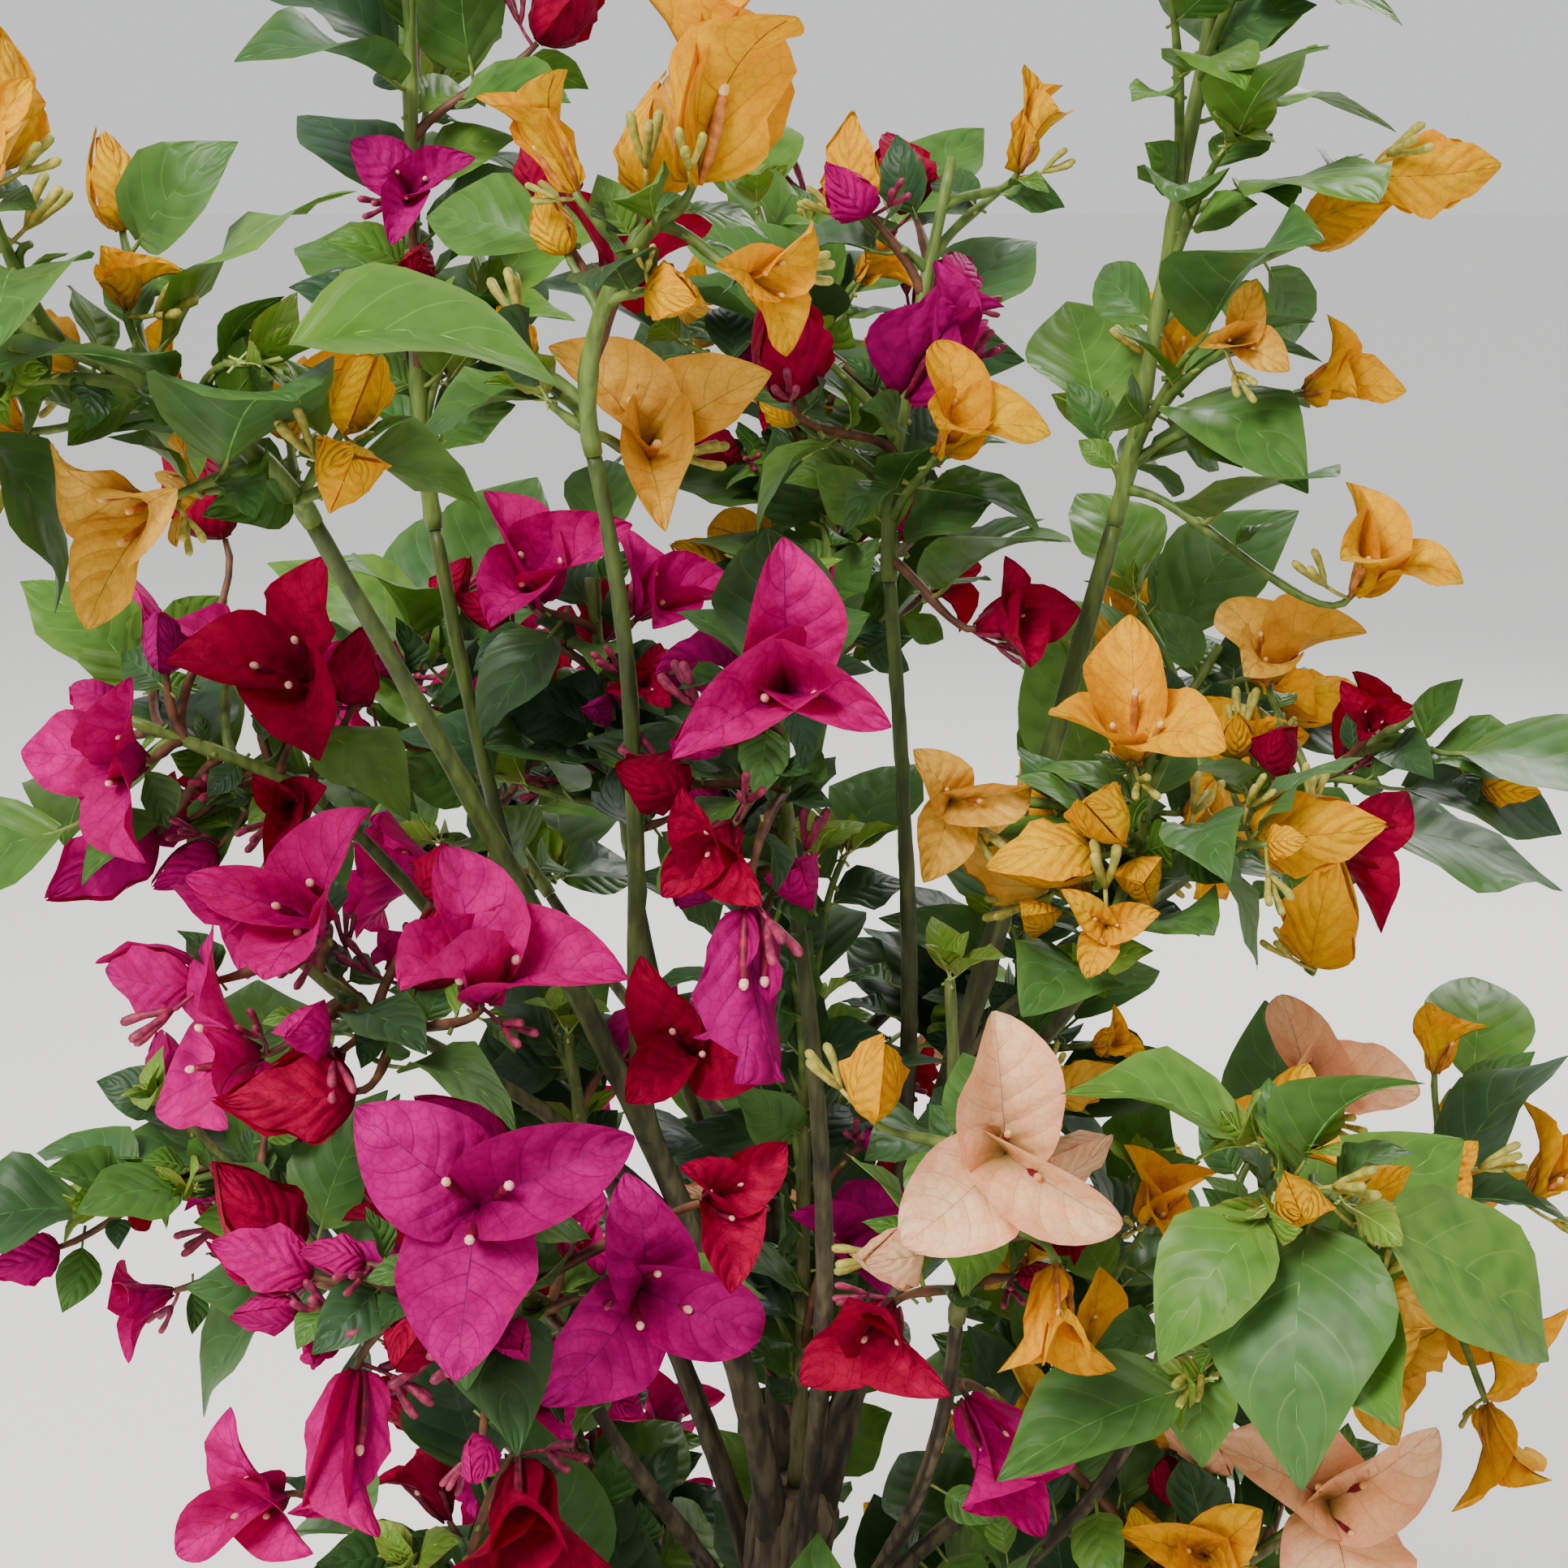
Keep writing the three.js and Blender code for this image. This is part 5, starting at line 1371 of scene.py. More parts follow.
class Blades:
    """Blades of one kind, worked out together. Each field has a row for each blade."""

    thickness = 0.34
    rib = 0.34
    rib_end = 0.1
    rib_height = 0.13
    outline_power = 0.82
    fullness = 0.85
    taper = 0.3
    common_length = 40.0
    rib_span = (0.01, 0.94)
    row_first = 0.004
    row_reach = 0.991
    flat_width = 0.36
    flat_shift = (600.0, 400.0)
    phase = 6.3

    def __init__(self, foot: Array, x: Array, y: Array, z: Array, length: Array, seed: int) -> None:
        """Takes each blade's foot, its three ways and its length, and draws its own small differences."""
        self.foot, self.x, self.y, self.z, self.length = foot, x, y, z, length
        self.draws = np.random.default_rng(seed).random((len(length), 16))

    def outline(self, s: Array) -> Array:
        """Half the blade's width as a share of its greatest: sin(pi s^p)^fullness (1 - taper s^3)."""
        s = np.clip(s, 1e-6, 1 - 1e-6)
        return np.sin(np.pi * s**self.outline_power) ** self.fullness * (1 - self.taper * s**3)

    def surface(self, s: Array, t: Array) -> Array:
        """Points at s from root to tip and t from the right edge, -1, to the left one, 1."""
        raise NotImplementedError

    def normals(self, s: Array, t: Array) -> Array:
        """Unit normals of the upper side, from points a small step apart.

        Args:
            s: A grid of shares along the blades.
            t: The grid of places across them, from -1 to 1.

        Returns:
            A grid of normals for each blade.
        """
        step = 2e-3
        s = np.clip(s, step, 1 - step)
        down = self.surface(s + step, t) - self.surface(s - step, t)
        over = self.surface(s, t + step) - self.surface(s, t - step)
        return unit(cross(down, over))

    def wide(self, values: Array, s: Array) -> Array:
        """One number for each blade, shaped to go with a grid of s."""
        return values.reshape((-1,) + (1,) * s.ndim)

    def place(self, s: Array, a: Array, b: Array, c: Array) -> Array:
        """Points a along, b to the left and c up from each blade's foot.

        Args:
            s: A grid of shares along the blades.
            a: How far along, in millimetres.
            b: How far to the left.
            c: How far up.

        Returns:
            A grid of points for each blade.
        """
        widen = (slice(None),) + (None,) * s.ndim
        foot, x, y, z = (way[widen] for way in (self.foot, self.x, self.y, self.z))
        return foot + a[..., None] * x + b[..., None] * y + c[..., None] * z

    def margin_wave(self, s: Array, t: Array, turns: float, first: int) -> Array:
        """A wave from -1 to 1 that runs along each margin by itself and fades towards the midrib.

        Args:
            s: A grid of shares along the blades.
            t: The grid of places across them, from -1 to 1.
            turns: The least number of waves on a margin.
            first: The first of the two draws that tell the margins apart.

        Returns:
            The wave's height at each point of the grid, for each blade.
        """
        one, two = (self.wide(self.draws[:, first + k], s) for k in (0, 1))
        left, right = ((turns + a) * 2 * np.pi * s + 2 * np.pi * b for a, b in ((one, two), (two, one)))
        return np.abs(t) ** 2 * self.outline(s) * np.where(t > 0, np.sin(left), np.sin(right))

    def shells(self, skin: Skin, detail: Detail) -> None:
        """Adds the blades' thin bodies: the surface moved half the thickness out on either side.

        Args:
            skin: The mesh to add to.
            detail: How finely each blade is divided.
        """
        inner, quads, rim = blade_faces(detail.rows, detail.columns)
        along = np.linspace(0, 1, detail.rows)
        along = self.row_first + self.row_reach * (0.5 * along + 0.25 * (1 - np.cos(np.pi * along)))
        s, t = np.meshgrid(along, np.linspace(-1, 1, detail.columns), indexing="ij")
        middle, up = self.surface(s, t), self.normals(s, t)
        off = up * inner[..., None] * self.thickness / 2
        marks = self.marks(s, t)
        marks = self.both(marks, marks, inner)
        skin.add(self.both(middle + off, middle - off, inner), quads, sharp=rim, marks=marks)

    def both(self, upper: Array, under: Array, inner: Array) -> Array:
        """The upper side's grid in one row for each blade, then the under side's inner points."""
        return np.concatenate((upper.reshape(len(upper), -1, upper.shape[-1]), under[:, inner]), 1)

    def marks(self, s: Array, t: Array) -> Array:
        """Each point's place on its flat blade, in millimetres, its shares along and across, and its tone.

        Args:
            s: A grid of shares along the blades.
            t: The grid of places across them, from -1 to 1.

        Returns:
            Six numbers for each point of the grid, for each blade.
        """
        length, draws = self.wide(self.length, s), [self.wide(draw, s) for draw in self.draws.T]
        tone = draws[13] + 0 * s
        x = s * length + self.flat_shift[0] * draws[12]
        y = self.outline(s) * t * length * self.flat_width + self.flat_shift[1] * draws[11]
        return np.stack((x, y, tone, s + 0 * tone, t + 0 * tone, tone), -1)

    def midribs(self, skin: Skin, detail: Detail) -> None:
        """Adds each blade's midrib, which stands out on both sides: a bar of four sides from root to tip.

        Args:
            skin: The mesh to add to.
            detail: How finely each blade is divided.
        """
        s = np.linspace(*self.rib_span, detail.midrib)
        paths, up = self.surface(s, np.zeros_like(s)), self.normals(s, np.zeros_like(s))
        along = unit(np.gradient(paths, axis=1))
        side = unit(cross(up, along))
        width = np.linspace(self.rib, self.rib_end, detail.midrib)[:, None]
        width = width * np.sqrt(self.length / self.common_length)[:, None, None]
        sweep(skin, paths, side * width, cross(along, side) * (self.thickness / 2 + self.rib_height), 4)


class Leaves(Blades):
    """Leaves: broad and pointed, folded up a little, waved along their edges and drooping at their tips."""

    thickness = 0.36
    rib = 0.4
    stalk = 0.15
    wave = 0.06
    droop = 0.2
    arch = 0.07
    fold = 6.0
    fold_more = 34.0
    curl_down = 0.05
    sway = 0.08
    shoulder = 0.09
    twist = 0.6
    twist_from = 0.1
    taper = 0.34
    fold_fade = 0.55
    arch_least = 0.4
    droop_least = 0.1
    droop_more = 1.3
    droop_power = 2.4
    wave_least = 0.25
    waves = 1.1
    stalk_end = 0.06
    stalk_back = 3.0
    stalk_sag = 0.012
    stalk_radii = np.array((1.25, 0.9, 0.85, 0.5))
    stalk_sides = 4

    def surface(self, s: Array, t: Array) -> Array:
        """Halves that rise from the midrib by an angle, arched and drooped along s, waved and twisted.

        Args:
            s: A grid of shares along the blades.
            t: The grid of places across them, from -1 to 1.

        Returns:
            A grid of points for each blade.
        """
        draws = [self.wide(draw, s) for draw in self.draws.T]
        length = self.wide(self.length, s)
        half = self.outline(s) * t * length * LEAF_WIDTH / 2
        fold = np.radians(self.fold + self.fold_more * draws[0]) * (1 - self.fold_fade * s)
        curl = self.arch * (self.arch_least + draws[1]) * 4 * s * (1 - s)
        droop = self.droop * (self.droop_least + self.droop_more * draws[2])
        curl = (curl - droop * s**self.droop_power) * length
        up = np.abs(half) * np.sin(fold) * np.abs(t) ** 0.5
        wave = self.wave * (self.wave_least + draws[5]) * length
        up = up + wave * self.margin_wave(s, t, self.waves, 3)
        up = up - self.curl_down * draws[9] * length * np.abs(t) ** 4 * self.outline(s)
        angle = self.twist * (2 * draws[6] - 1) * (s - self.twist_from)
        wide = half * np.cos(fold)
        b = wide * np.cos(angle) - up * np.sin(angle) + self.sway * (draws[8] - 0.5) * length * s**2
        c = curl + up * np.cos(angle) + wide * np.sin(angle)
        back = self.shoulder * draws[7] * np.abs(t) ** 1.5 * (1 - s) ** 3
        return self.place(s, (self.stalk + (1 - self.stalk) * s - back) * length, b, c)

    def stalks(self, skin: Skin, radius: float) -> None:
        """Adds each leaf's stalk, from its foot to a little way up its midrib.

        Args:
            skin: The mesh to add to.
            radius: The radius of the stalk of a leaf of the common length.
        """
        ends = self.surface(np.array((0.0, self.stalk_end)), np.zeros(2))
        foot = self.foot - self.x * self.stalk_back
        paths = np.stack((foot, foot * 0.45 + ends[:, 0] * 0.55, ends[:, 0], ends[:, 1]), 1)
        paths[:, 1] -= self.z * (self.length * self.stalk_sag)[:, None]
        radii = radius * np.sqrt(self.length / LEAF_LENGTH)[:, None] * self.stalk_radii
        tubes(skin, paths, radii, self.stalk_sides)


class Bracts(Blades):
    """The bracts of open blossoms: papery, wide, pointed, bent outwards, folded and curled."""

    thickness = 0.24
    rib = 0.36
    wave = 0.09
    ruffle = 0.022
    ruffles = 27.0
    bend = 0.5
    fold = 2.0
    fold_more = 62.0
    roll = 1.12
    flat_from = 78.0
    flat_over = 38.0
    sway = 0.1
    tilt_spread = 0.46
    spread = 1.1
    outline_power = 0.78
    fullness = 0.8
    taper = 0.14
    recurve = 0.3
    recurve_least = 0.15
    twist = 0.7
    bend_least = 0.35
    fold_fade = 0.3
    room = 0.1
    closed_least = 0.3
    wave_least = 0.2
    waves = 1.2
    length_least = 0.92
    length_more = 0.13
    tube_lean = 0.42
    tube_lean_most = 0.34
    tube_reach = 0.36
    tube_reach_more = 0.08
    tube_root = 0.05
    tube_bow = 0.05
    tube_sides = 7
    tube_shares = np.array((0.0, 0.3, 0.6, 0.8, 0.93, 1.0))
    tube_radii = np.array((0.6, 0.95, 1.15, 1.2, 0.95, 0.8))
    knob_steps = np.array((-0.6, 0.1, 0.9, 1.7, 2.3))
    knob_radii = np.array((0.45, 0.9, 1.12, 0.92, 0.3))

    def __init__(self, ends: list[End], turns: list[float], seed: int) -> None:
        """Works out the axis of each blossom and the way out along each of its three bracts.

        Args:
            ends: The blossoms.
            turns: The angle that each one's first bract is turned by.
            seed: Where the bracts' small differences are drawn from.
        """
        axes, outs, feet, lengths, tilts = [], [], [], [], []
        for end, turn in zip(ends, turns):
            axis = unit(end.face)
            sides = square_to(axis, UP)
            for i in range(3):
                axes.append(axis)
                outs.append(around(sides, turn + i * 2 * math.pi / 3))
                feet.append(end.at)
                lengths.append(end.size)
                tilts.append(math.radians(end.open))
        x, z = np.array(axes), np.array(outs)
        super().__init__(np.array(feet), x, cross(x, z), z, np.array(lengths), seed)
        self.tilt = np.array(tilts) + self.tilt_spread * (self.draws[:, 9] - 0.5)
        self.length = self.length * (self.length_least + self.length_more * self.draws[:, 10])

    def surface(self, s: Array, t: Array) -> Array:
        """An arc outwards from the axis: its halves rise from the midrib, its margins are ruffled.

        Args:
            s: A grid of shares along the blades.
            t: The grid of places across them, from -1 to 1.

        Returns:
            A grid of points for each blade.
        """
        draws = [self.wide(draw, s) for draw in self.draws.T]
        length, tilt = self.wide(self.length, s), self.wide(self.tilt, s)
        bend = self.bend * (self.bend_least + draws[0])
        angle, start = tilt + bend * (2 * s - 1), tilt - bend
        a = (np.sin(angle) - np.sin(start)) / (2 * bend) * length
        out = (np.cos(start) - np.cos(angle)) / (2 * bend) * length
        half = self.spread * self.outline(s) * t * length * BRACT_WIDTH / 2
        fold = np.radians(self.fold_more * draws[8] + self.fold) * (1 - self.fold_fade * s)
        room = out + self.room * length
        roll = self.roll * np.tanh(half / (self.roll * room))
        closed = (math.radians(self.flat_from) - tilt) / math.radians(self.flat_over)
        closed = np.clip(closed, self.closed_least, 1)
        wide = ((1 - closed) * half + closed * room * np.sin(roll)) * np.cos(fold)
        up = closed * room * (1 - np.cos(roll)) + np.abs(half) * np.sin(fold) * np.abs(t) ** 0.5
        wave = self.wave * (self.wave_least + draws[3]) * length
        up = up + wave * self.margin_wave(s, t, self.waves, 1)
        ruffle = np.sin(self.ruffles * s + self.phase * draws[11]) * np.abs(t) ** 3 * self.outline(s)
        up = up + self.ruffle * draws[6] * length * ruffle
        turn = self.twist * (2 * draws[4] - 1) * s**2
        b = wide * np.cos(turn) - up * np.sin(turn) + self.sway * (draws[5] - 0.5) * length * s**2
        recurve = self.recurve * (draws[7] - self.recurve_least) * length * s**3
        up = up * np.cos(turn) + wide * np.sin(turn) - recurve
        return self.place(s, a + up * np.sin(angle), b, out - up * np.cos(angle))

    def stamens(self, tubes_skin: Skin, knobs_skin: Skin) -> None:
        """Adds the true flowers: a slim tube up from each bract's foot, with a small pale knob on it.

        Args:
            tubes_skin: The mesh of the tubes.
            knobs_skin: The mesh of the knobs.
        """
        tilt = np.minimum(self.tilt * self.tube_lean, self.tube_lean_most)[:, None]
        way = self.x * np.cos(tilt) + self.z * np.sin(tilt)
        reach = self.tube_reach + self.tube_reach_more * self.draws[:, 9]
        reach = (self.length * reach)[:, None, None]
        shares = self.tube_shares[None, :, None]
        root = self.foot + self.z * (self.length * self.tube_root)[:, None]
        paths = root[:, None] + way[:, None] * shares * reach
        paths = paths + self.z[:, None] * np.sin(shares * np.pi) * reach * self.tube_bow
        size = (self.length / self.common_length)[:, None]
        tubes(tubes_skin, paths, size * self.tube_radii, self.tube_sides)
        tip = paths[:, -1:] + way[:, None] * self.knob_steps[None, :, None] * size[..., None]
        tubes(knobs_skin, tip, size * self.knob_radii, self.tube_sides)


class Lanterns(Bracts):
    """The bracts of closed blossoms, which meet along their crests and at their tips."""

    outline_power = 0.74
    fullness = 0.75
    taper = 0.2
    crest = 0.05
    crests = 16.0
    groove = 0.035
    groove_width = 0.12
    least_swell = 0.01
    keel_power = 3.2
    flank = (1.12, 0.2)
    gap = 0.015
    lean = 0.12
    stray = 0.05

    def surface(self, s: Array, t: Array) -> Array:
        """A third of the round: out by the flank at the midrib, and by the keel at the scalloped crests.

        Args:
            s: A grid of shares along the blades.
            t: The grid of places across them, from -1 to 1.

        Returns:
            A grid of points for each blade.
        """
        draws = [self.wide(draw, s) for draw in self.draws.T]
        length = self.wide(self.length, s)
        swell = self.outline(s) + self.least_swell
        keel = (LANTERN_KEEL - LANTERN_FLANK * 0.92) * np.abs(t) ** self.keel_power
        far = LANTERN_FLANK * (self.flank[0] - self.flank[1] * np.abs(t)) + keel
        scallops = np.sin(self.crests * s + self.phase * draws[11])
        crest = self.crest * np.abs(t) ** 6 * scallops * np.sin(np.pi * s)
        groove = self.groove * np.exp(-((t / self.groove_width) ** 2)) * np.sin(np.pi * s)
        out = length * swell * (far + crest - groove)
        angle = t * (math.pi / 3 - self.gap)
        lean = self.lean * (draws[4] - 0.5) * length * s**3
        along = s * length * (1 + self.stray * draws[5] * np.abs(t) ** 4)
        return self.place(s, along, lean - out * np.sin(angle), out * np.cos(angle))


LATTICE_PRIMES = np.array((73856093, 19349663, 83492791))
LATTICE_FACTOR = 1274126177
HALF_WORD = 0xFFFF
WORD = 0xFFFFFFFF


def lattice_noise(points: Array, seed: int) -> Array:
    """Smooth noise from 0 to 1: random values on a unit lattice, blended with f^2 (3 - 2 f) between them.

    Args:
        points: Where it is wanted, in steps of the lattice.
        seed: Makes the noise its own.

    Returns:
        The noise at each point.
    """
    cell = np.floor(points).astype(np.int64)
    part = points - cell
    part = part * part * (3 - 2 * part)
    total = np.zeros(points.shape[:-1])
    for corner in np.ndindex(2, 2, 2):
        weight = np.prod(np.where(corner, part, 1 - part), axis=-1)
        key = (cell + corner) @ LATTICE_PRIMES + seed * SEED_SPREAD
        key = (key ^ (key >> 13)) * LATTICE_FACTOR & WORD
        total += weight * (((key ^ (key >> 16)) & HALF_WORD) / HALF_WORD)
    return total


@dataclass(frozen=True)
class Bark:
    """The relief of a limb's bark, in millimetres."""

    fissure_depth: float
    fissure_width: float
    fissure_length: float
    grain_depth: float
    knot_height: float
    knot_step: float
    crack: float = 0.3
    scales: tuple[float, float] = (1.0, 0.5)

    def relief(self, along: Array, angle: Array, radius: Array, seed: int) -> tuple[Array, Array]:
        """How far the bark stands out: cracks where long noise is near a half, grain, and some knots.

        Args:
            along: The distance along the limb, in millimetres.
            angle: The angle round it.
            radius: Its radius there.
            seed: Makes each limb's bark its own.

        Returns:
            The height to add to the radius, and how deep in a crack each point lies, from 0 to 1.
        """
        cosine, sine = np.cos(angle) * radius, np.sin(angle) * radius
        width, length = self.fissure_width, self.fissure_length
        flow = np.stack((cosine / width, sine / width, along / length), -1)
        noises = (lattice_noise(flow / scale, seed + 2 * i) for i, scale in enumerate(self.scales))
        cracks = [np.clip(1 - np.abs(2 * noise - 1) / self.crack, 0, 1) for noise in noises]
        crack = np.maximum(cracks[0] * self.scales[0], cracks[1] * self.scales[1])
        fine = lattice_noise(np.stack((cosine, sine, along * 0.35), -1) / 0.8, seed + 1)
        height = self.grain_depth * (fine - 0.5) - self.fissure_depth * crack
        k = np.round(along / self.knot_step)
        gap = (along - k * self.knot_step) / (0.9 * radius)
        turn = np.cos(angle - k * GOLDEN_ANGLE)
        return height + self.knot_height * np.exp(-gap**2) * np.clip(turn, 0, 1) ** 3, crack


@dataclass
class Trunk:
    """The trunk and the boughs, with their taper, root flare and bark."""

    limbs: Limbs
    bark: Bark = Bark(1.3, 4.2, 24.0, 0.45, 1.8, 37.0)
    bough_bark: Bark = Bark(0.34, 3.6, 26.0, 0.18, 0.5, 24.0)
    rings: int = 230
    sides: int = 112
    bough_step: float = 3.2
    bough_sides: int = 14
    bough_share: float = 0.84
    collar: float = 0.25
    collar_length: float = 7.0
    rounded_from: float = 0.97
    rounding: float = 8.0

    def radius(self, share: Array, angle: Array) -> Array:
        """The trunk's radius: an even taper, and a flare that fades with height and is lobed by roots.

        Args:
            share: Shares of the trunk's curve.
            angle: Angles round it.

        Returns:
            The radius at each of them.
        """
        height = self.limbs.curves["trunk"].points(share)[..., 2]
        flare = np.maximum(0, 1 - height / FLARE_HEIGHT) ** 2
        plain = TRUNK_WAIST_RADIUS + (TRUNK_FORK_RADIUS - TRUNK_WAIST_RADIUS) * share
        lobes = 1 + FLARE_DEPTH * flare * np.cos(FLARE_LOBES * angle)
        return (plain + (TRUNK_FOOT_RADIUS - TRUNK_WAIST_RADIUS) * flare) * lobes

    def limb(self, skin: Skin, name: str, seed: int) -> None:
        """Adds one limb: its radius and its bark's relief, carried along its curve.

        Args:
            skin: The mesh to add to.
            name: The limb's name.
            seed: Makes its bark its own.
        """
        curve = self.limbs.curves[name]
        whole = name == "trunk"
        rings = self.rings if whole else int(curve.length() / self.bough_step)
        sides = self.sides if whole else self.bough_sides
        line = Line(curve, rings)
        turn = np.arange(sides) * 2 * np.pi / sides
        share, angle = np.meshgrid(np.linspace(0, 1, rings + 1), turn, indexing="ij")
        steps = np.linalg.norm(np.diff(line.at, axis=0), axis=1)
        along = np.concatenate(((0,), np.cumsum(steps)))[:, None] + 0 * angle
        if whole:
            bark, radius = self.bark, self.radius(share, angle)
        else:
            first, last = self.limbs.radii[name]
            bark, radius = self.bough_bark, self.bough_share * (first + (last - first) * share)
            radius = radius * (1 + self.collar * np.exp(-along / self.collar_length))
        relief, crack = bark.relief(along, angle, radius, seed)
        radius = radius + relief
        if whole:
            radius = radius * (1 - np.maximum(0, share - self.rounded_from) * self.rounding)
        y, z = (np.array([pair[k] for pair in line.sides])[:, None] for k in (0, 1))
        out = y * np.cos(angle)[..., None] + z * np.sin(angle)[..., None]
        ring = line.at[:, None] + radius[..., None] * out
        if whole:
            ring[0, :, 2] = 0
        points = np.concatenate((ring.reshape(-1, 3), line.at[:1], line.at[-1:]))[None]
        marks = np.zeros((points.shape[1], 6))
        marks[:-2, 5] = crack.ravel()
        quads, ends = tube_faces(rings + 1, sides)
        skin.add(points, quads, ends, quads[:sides, :2], marks)

    def build(self, finish: "Wood", bough_finish: "Wood") -> None:
        """Makes the two pieces that replace the trunk's node and the boughs' nodes.

        Args:
            finish: The trunk's finish.
            bough_finish: The boughs' finish.
        """
        trunk, boughs = Skin(), Skin()
        self.limb(trunk, "trunk", 3)
        trunk.build("trunk_bark", finish, "bark", ["trunk"])
        for i, name in enumerate(BOUGHS):
            self.limb(boughs, name, 11 + 2 * i)
        boughs.build("boughs_bark", bough_finish, "bark", [f"bough_{name}" for name in BOUGHS])


class Value:
    """A socket that carries a number, so that shader maths reads as an expression."""

    def __init__(self, shader: "Shader", socket: bpy.types.NodeSocket) -> None:
        """Wraps one output socket."""
        self.shader = shader
        self.socket = socket

    def maths(self, operation: str, *others: "Value | float") -> "Value":
        """A Math node on this value and others."""
        inputs = dict(enumerate((self,) + others))
        return self.shader.value("ShaderNodeMath", 0, {"operation": operation}, inputs)

    def __add__(self, other: "Value | float") -> "Value":
        """The sum."""
        return self.maths("ADD", other)

    def __sub__(self, other: "Value | float") -> "Value":
        """The difference."""
        return self.maths("SUBTRACT", other)

    def __mul__(self, other: "Value | float") -> "Value":
        """The product."""
        return self.maths("MULTIPLY", other)

    def __rsub__(self, other: float) -> "Value":
        """A number less this value."""
        return self.maths("MULTIPLY", -1.0).maths("ADD", other)

    __radd__ = __add__
    __rmul__ = __mul__

    def step(self, low: float, high: float) -> "Value":
        """A smooth step from 0 at low to 1 at high.

        Args:
            low: Where it starts to rise.
            high: Where it is 1.

        Returns:
            The stepped number.
        """
        settings = {"interpolation_type": "SMOOTHSTEP"}
        inputs = {"Value": self, "From Min": low, "From Max": high}
        return self.shader.value("ShaderNodeMapRange", "Result", settings, inputs)


class Shader:
    """A material's node tree, with one method that adds any node."""

    def __init__(self, name: str) -> None:
        """Starts a material with its own tree and the piece's Object coordinates.

        Args:
            name: The material's name.
        """
        self.material = bpy.data.materials.new(name)
        self.material.use_nodes = True
        self.tree = self.material.node_tree
        self.tree.nodes.clear()
        self.place = self.value("ShaderNodeTexCoord", "Object", {}, {})

    def add(self, kind: str, settings: dict, inputs: dict) -> bpy.types.Node:
        """Adds a node.

        Args:
            kind: The node's type.
            settings: Its own settings, which are set first.
            inputs: Values, links or screen colours for its sockets, by name or number.

        Returns:
            The node.
        """
        node = self.tree.nodes.new(kind)
        for key, value in settings.items():
            setattr(node, key, value)
        for key, value in inputs.items():
            if isinstance(value, Value):
                value = value.socket
            if isinstance(value, str):
                value = colour(value)
            if isinstance(value, bpy.types.NodeSocket):
                self.tree.links.new(value, node.inputs[key])
            else:
                node.inputs[key].default_value = value
        return node

    def value(self, kind: str, output: str | int, settings: dict, inputs: dict) -> Value:
        """Adds a node and wraps one of its outputs."""
        return Value(self, self.add(kind, settings, inputs).outputs[output])

    def attribute(self, name: str) -> Value:
        """The mesh's own vector attribute."""
        return self.value("ShaderNodeAttribute", "Vector", {"attribute_name": name}, {})

    def parts(self, vector: Value) -> tuple[Value, Value, Value]:
        """A vector's three numbers."""
        node = self.add("ShaderNodeSeparateXYZ", {}, {0: vector})
        return tuple(Value(self, node.outputs[k]) for k in range(3))

    def noise(self, size: float, detail: float = 2.0, stretch: Point = (1, 1, 1)) -> Value:
        """Noise with features of a size in millimetres, longer along an axis where stretch is under 1.

        Args:
            size: The features' size.
            detail: How many finer octaves are laid over it.
            stretch: The scale along each axis.

        Returns:
            The noise.
        """
        scaled = self.add("ShaderNodeMapping", {}, {"Vector": self.place, "Scale": stretch})
        inputs = {"Vector": scaled.outputs[0], "Scale": 1 / (size * MM), "Detail": detail}
        return self.value("ShaderNodeTexNoise", 0, {}, inputs)

    def flat_noise(self, flat: Value, size: float, detail: float) -> Value:
        """Noise on a flat blade, with features of a size in millimetres."""
        inputs = {"Vector": flat, "Scale": 1 / size, "Detail": detail}
        return self.value("ShaderNodeTexNoise", 0, {"noise_dimensions": "2D"}, inputs)

    def cells(self, flat: Value, size: float) -> Value:
        """How far a point of a flat blade is from the edge of its cell, as a share of the cells' size."""
        settings = {"feature": "DISTANCE_TO_EDGE", "voronoi_dimensions": "2D"}
        return self.value("ShaderNodeTexVoronoi", "Distance", settings, {"Vector": flat, "Scale": 1 / size})

    def blend(self, factor: Value, first: Value | str, second: Value | str) -> Value:
        """A colour between two, by a factor from 0 to 1."""
        node = self.add("ShaderNodeMix", {"data_type": "RGBA"}, {0: factor, 6: first, 7: second})
        return Value(self, node.outputs[2])

    def bump(self, height: Value, distance: float) -> Value:
        """Normals for a height, whose full range stands for a distance in millimetres."""
        inputs = {"Height": height, "Distance": distance * MM, "Strength": 1.0}
        return self.value("ShaderNodeBump", "Normal", {}, inputs)

    def finish(self, surface: bpy.types.Node) -> bpy.types.Material:
        """Joins the surface to the material's output."""
        self.add("ShaderNodeOutputMaterial", {}, {"Surface": surface.outputs[0]})
        return self.material


def colour(code: str) -> tuple[float, float, float, float]:
    """A colour for a shader from the six digits of a screen colour."""
    parts = (int(code[i:i + 2], 16) / 255 for i in (0, 2, 4))
    return tuple(p / 12.92 if p <= 0.04045 else ((p + 0.055) / 1.055) ** 2.4 for p in parts) + (1.0,)


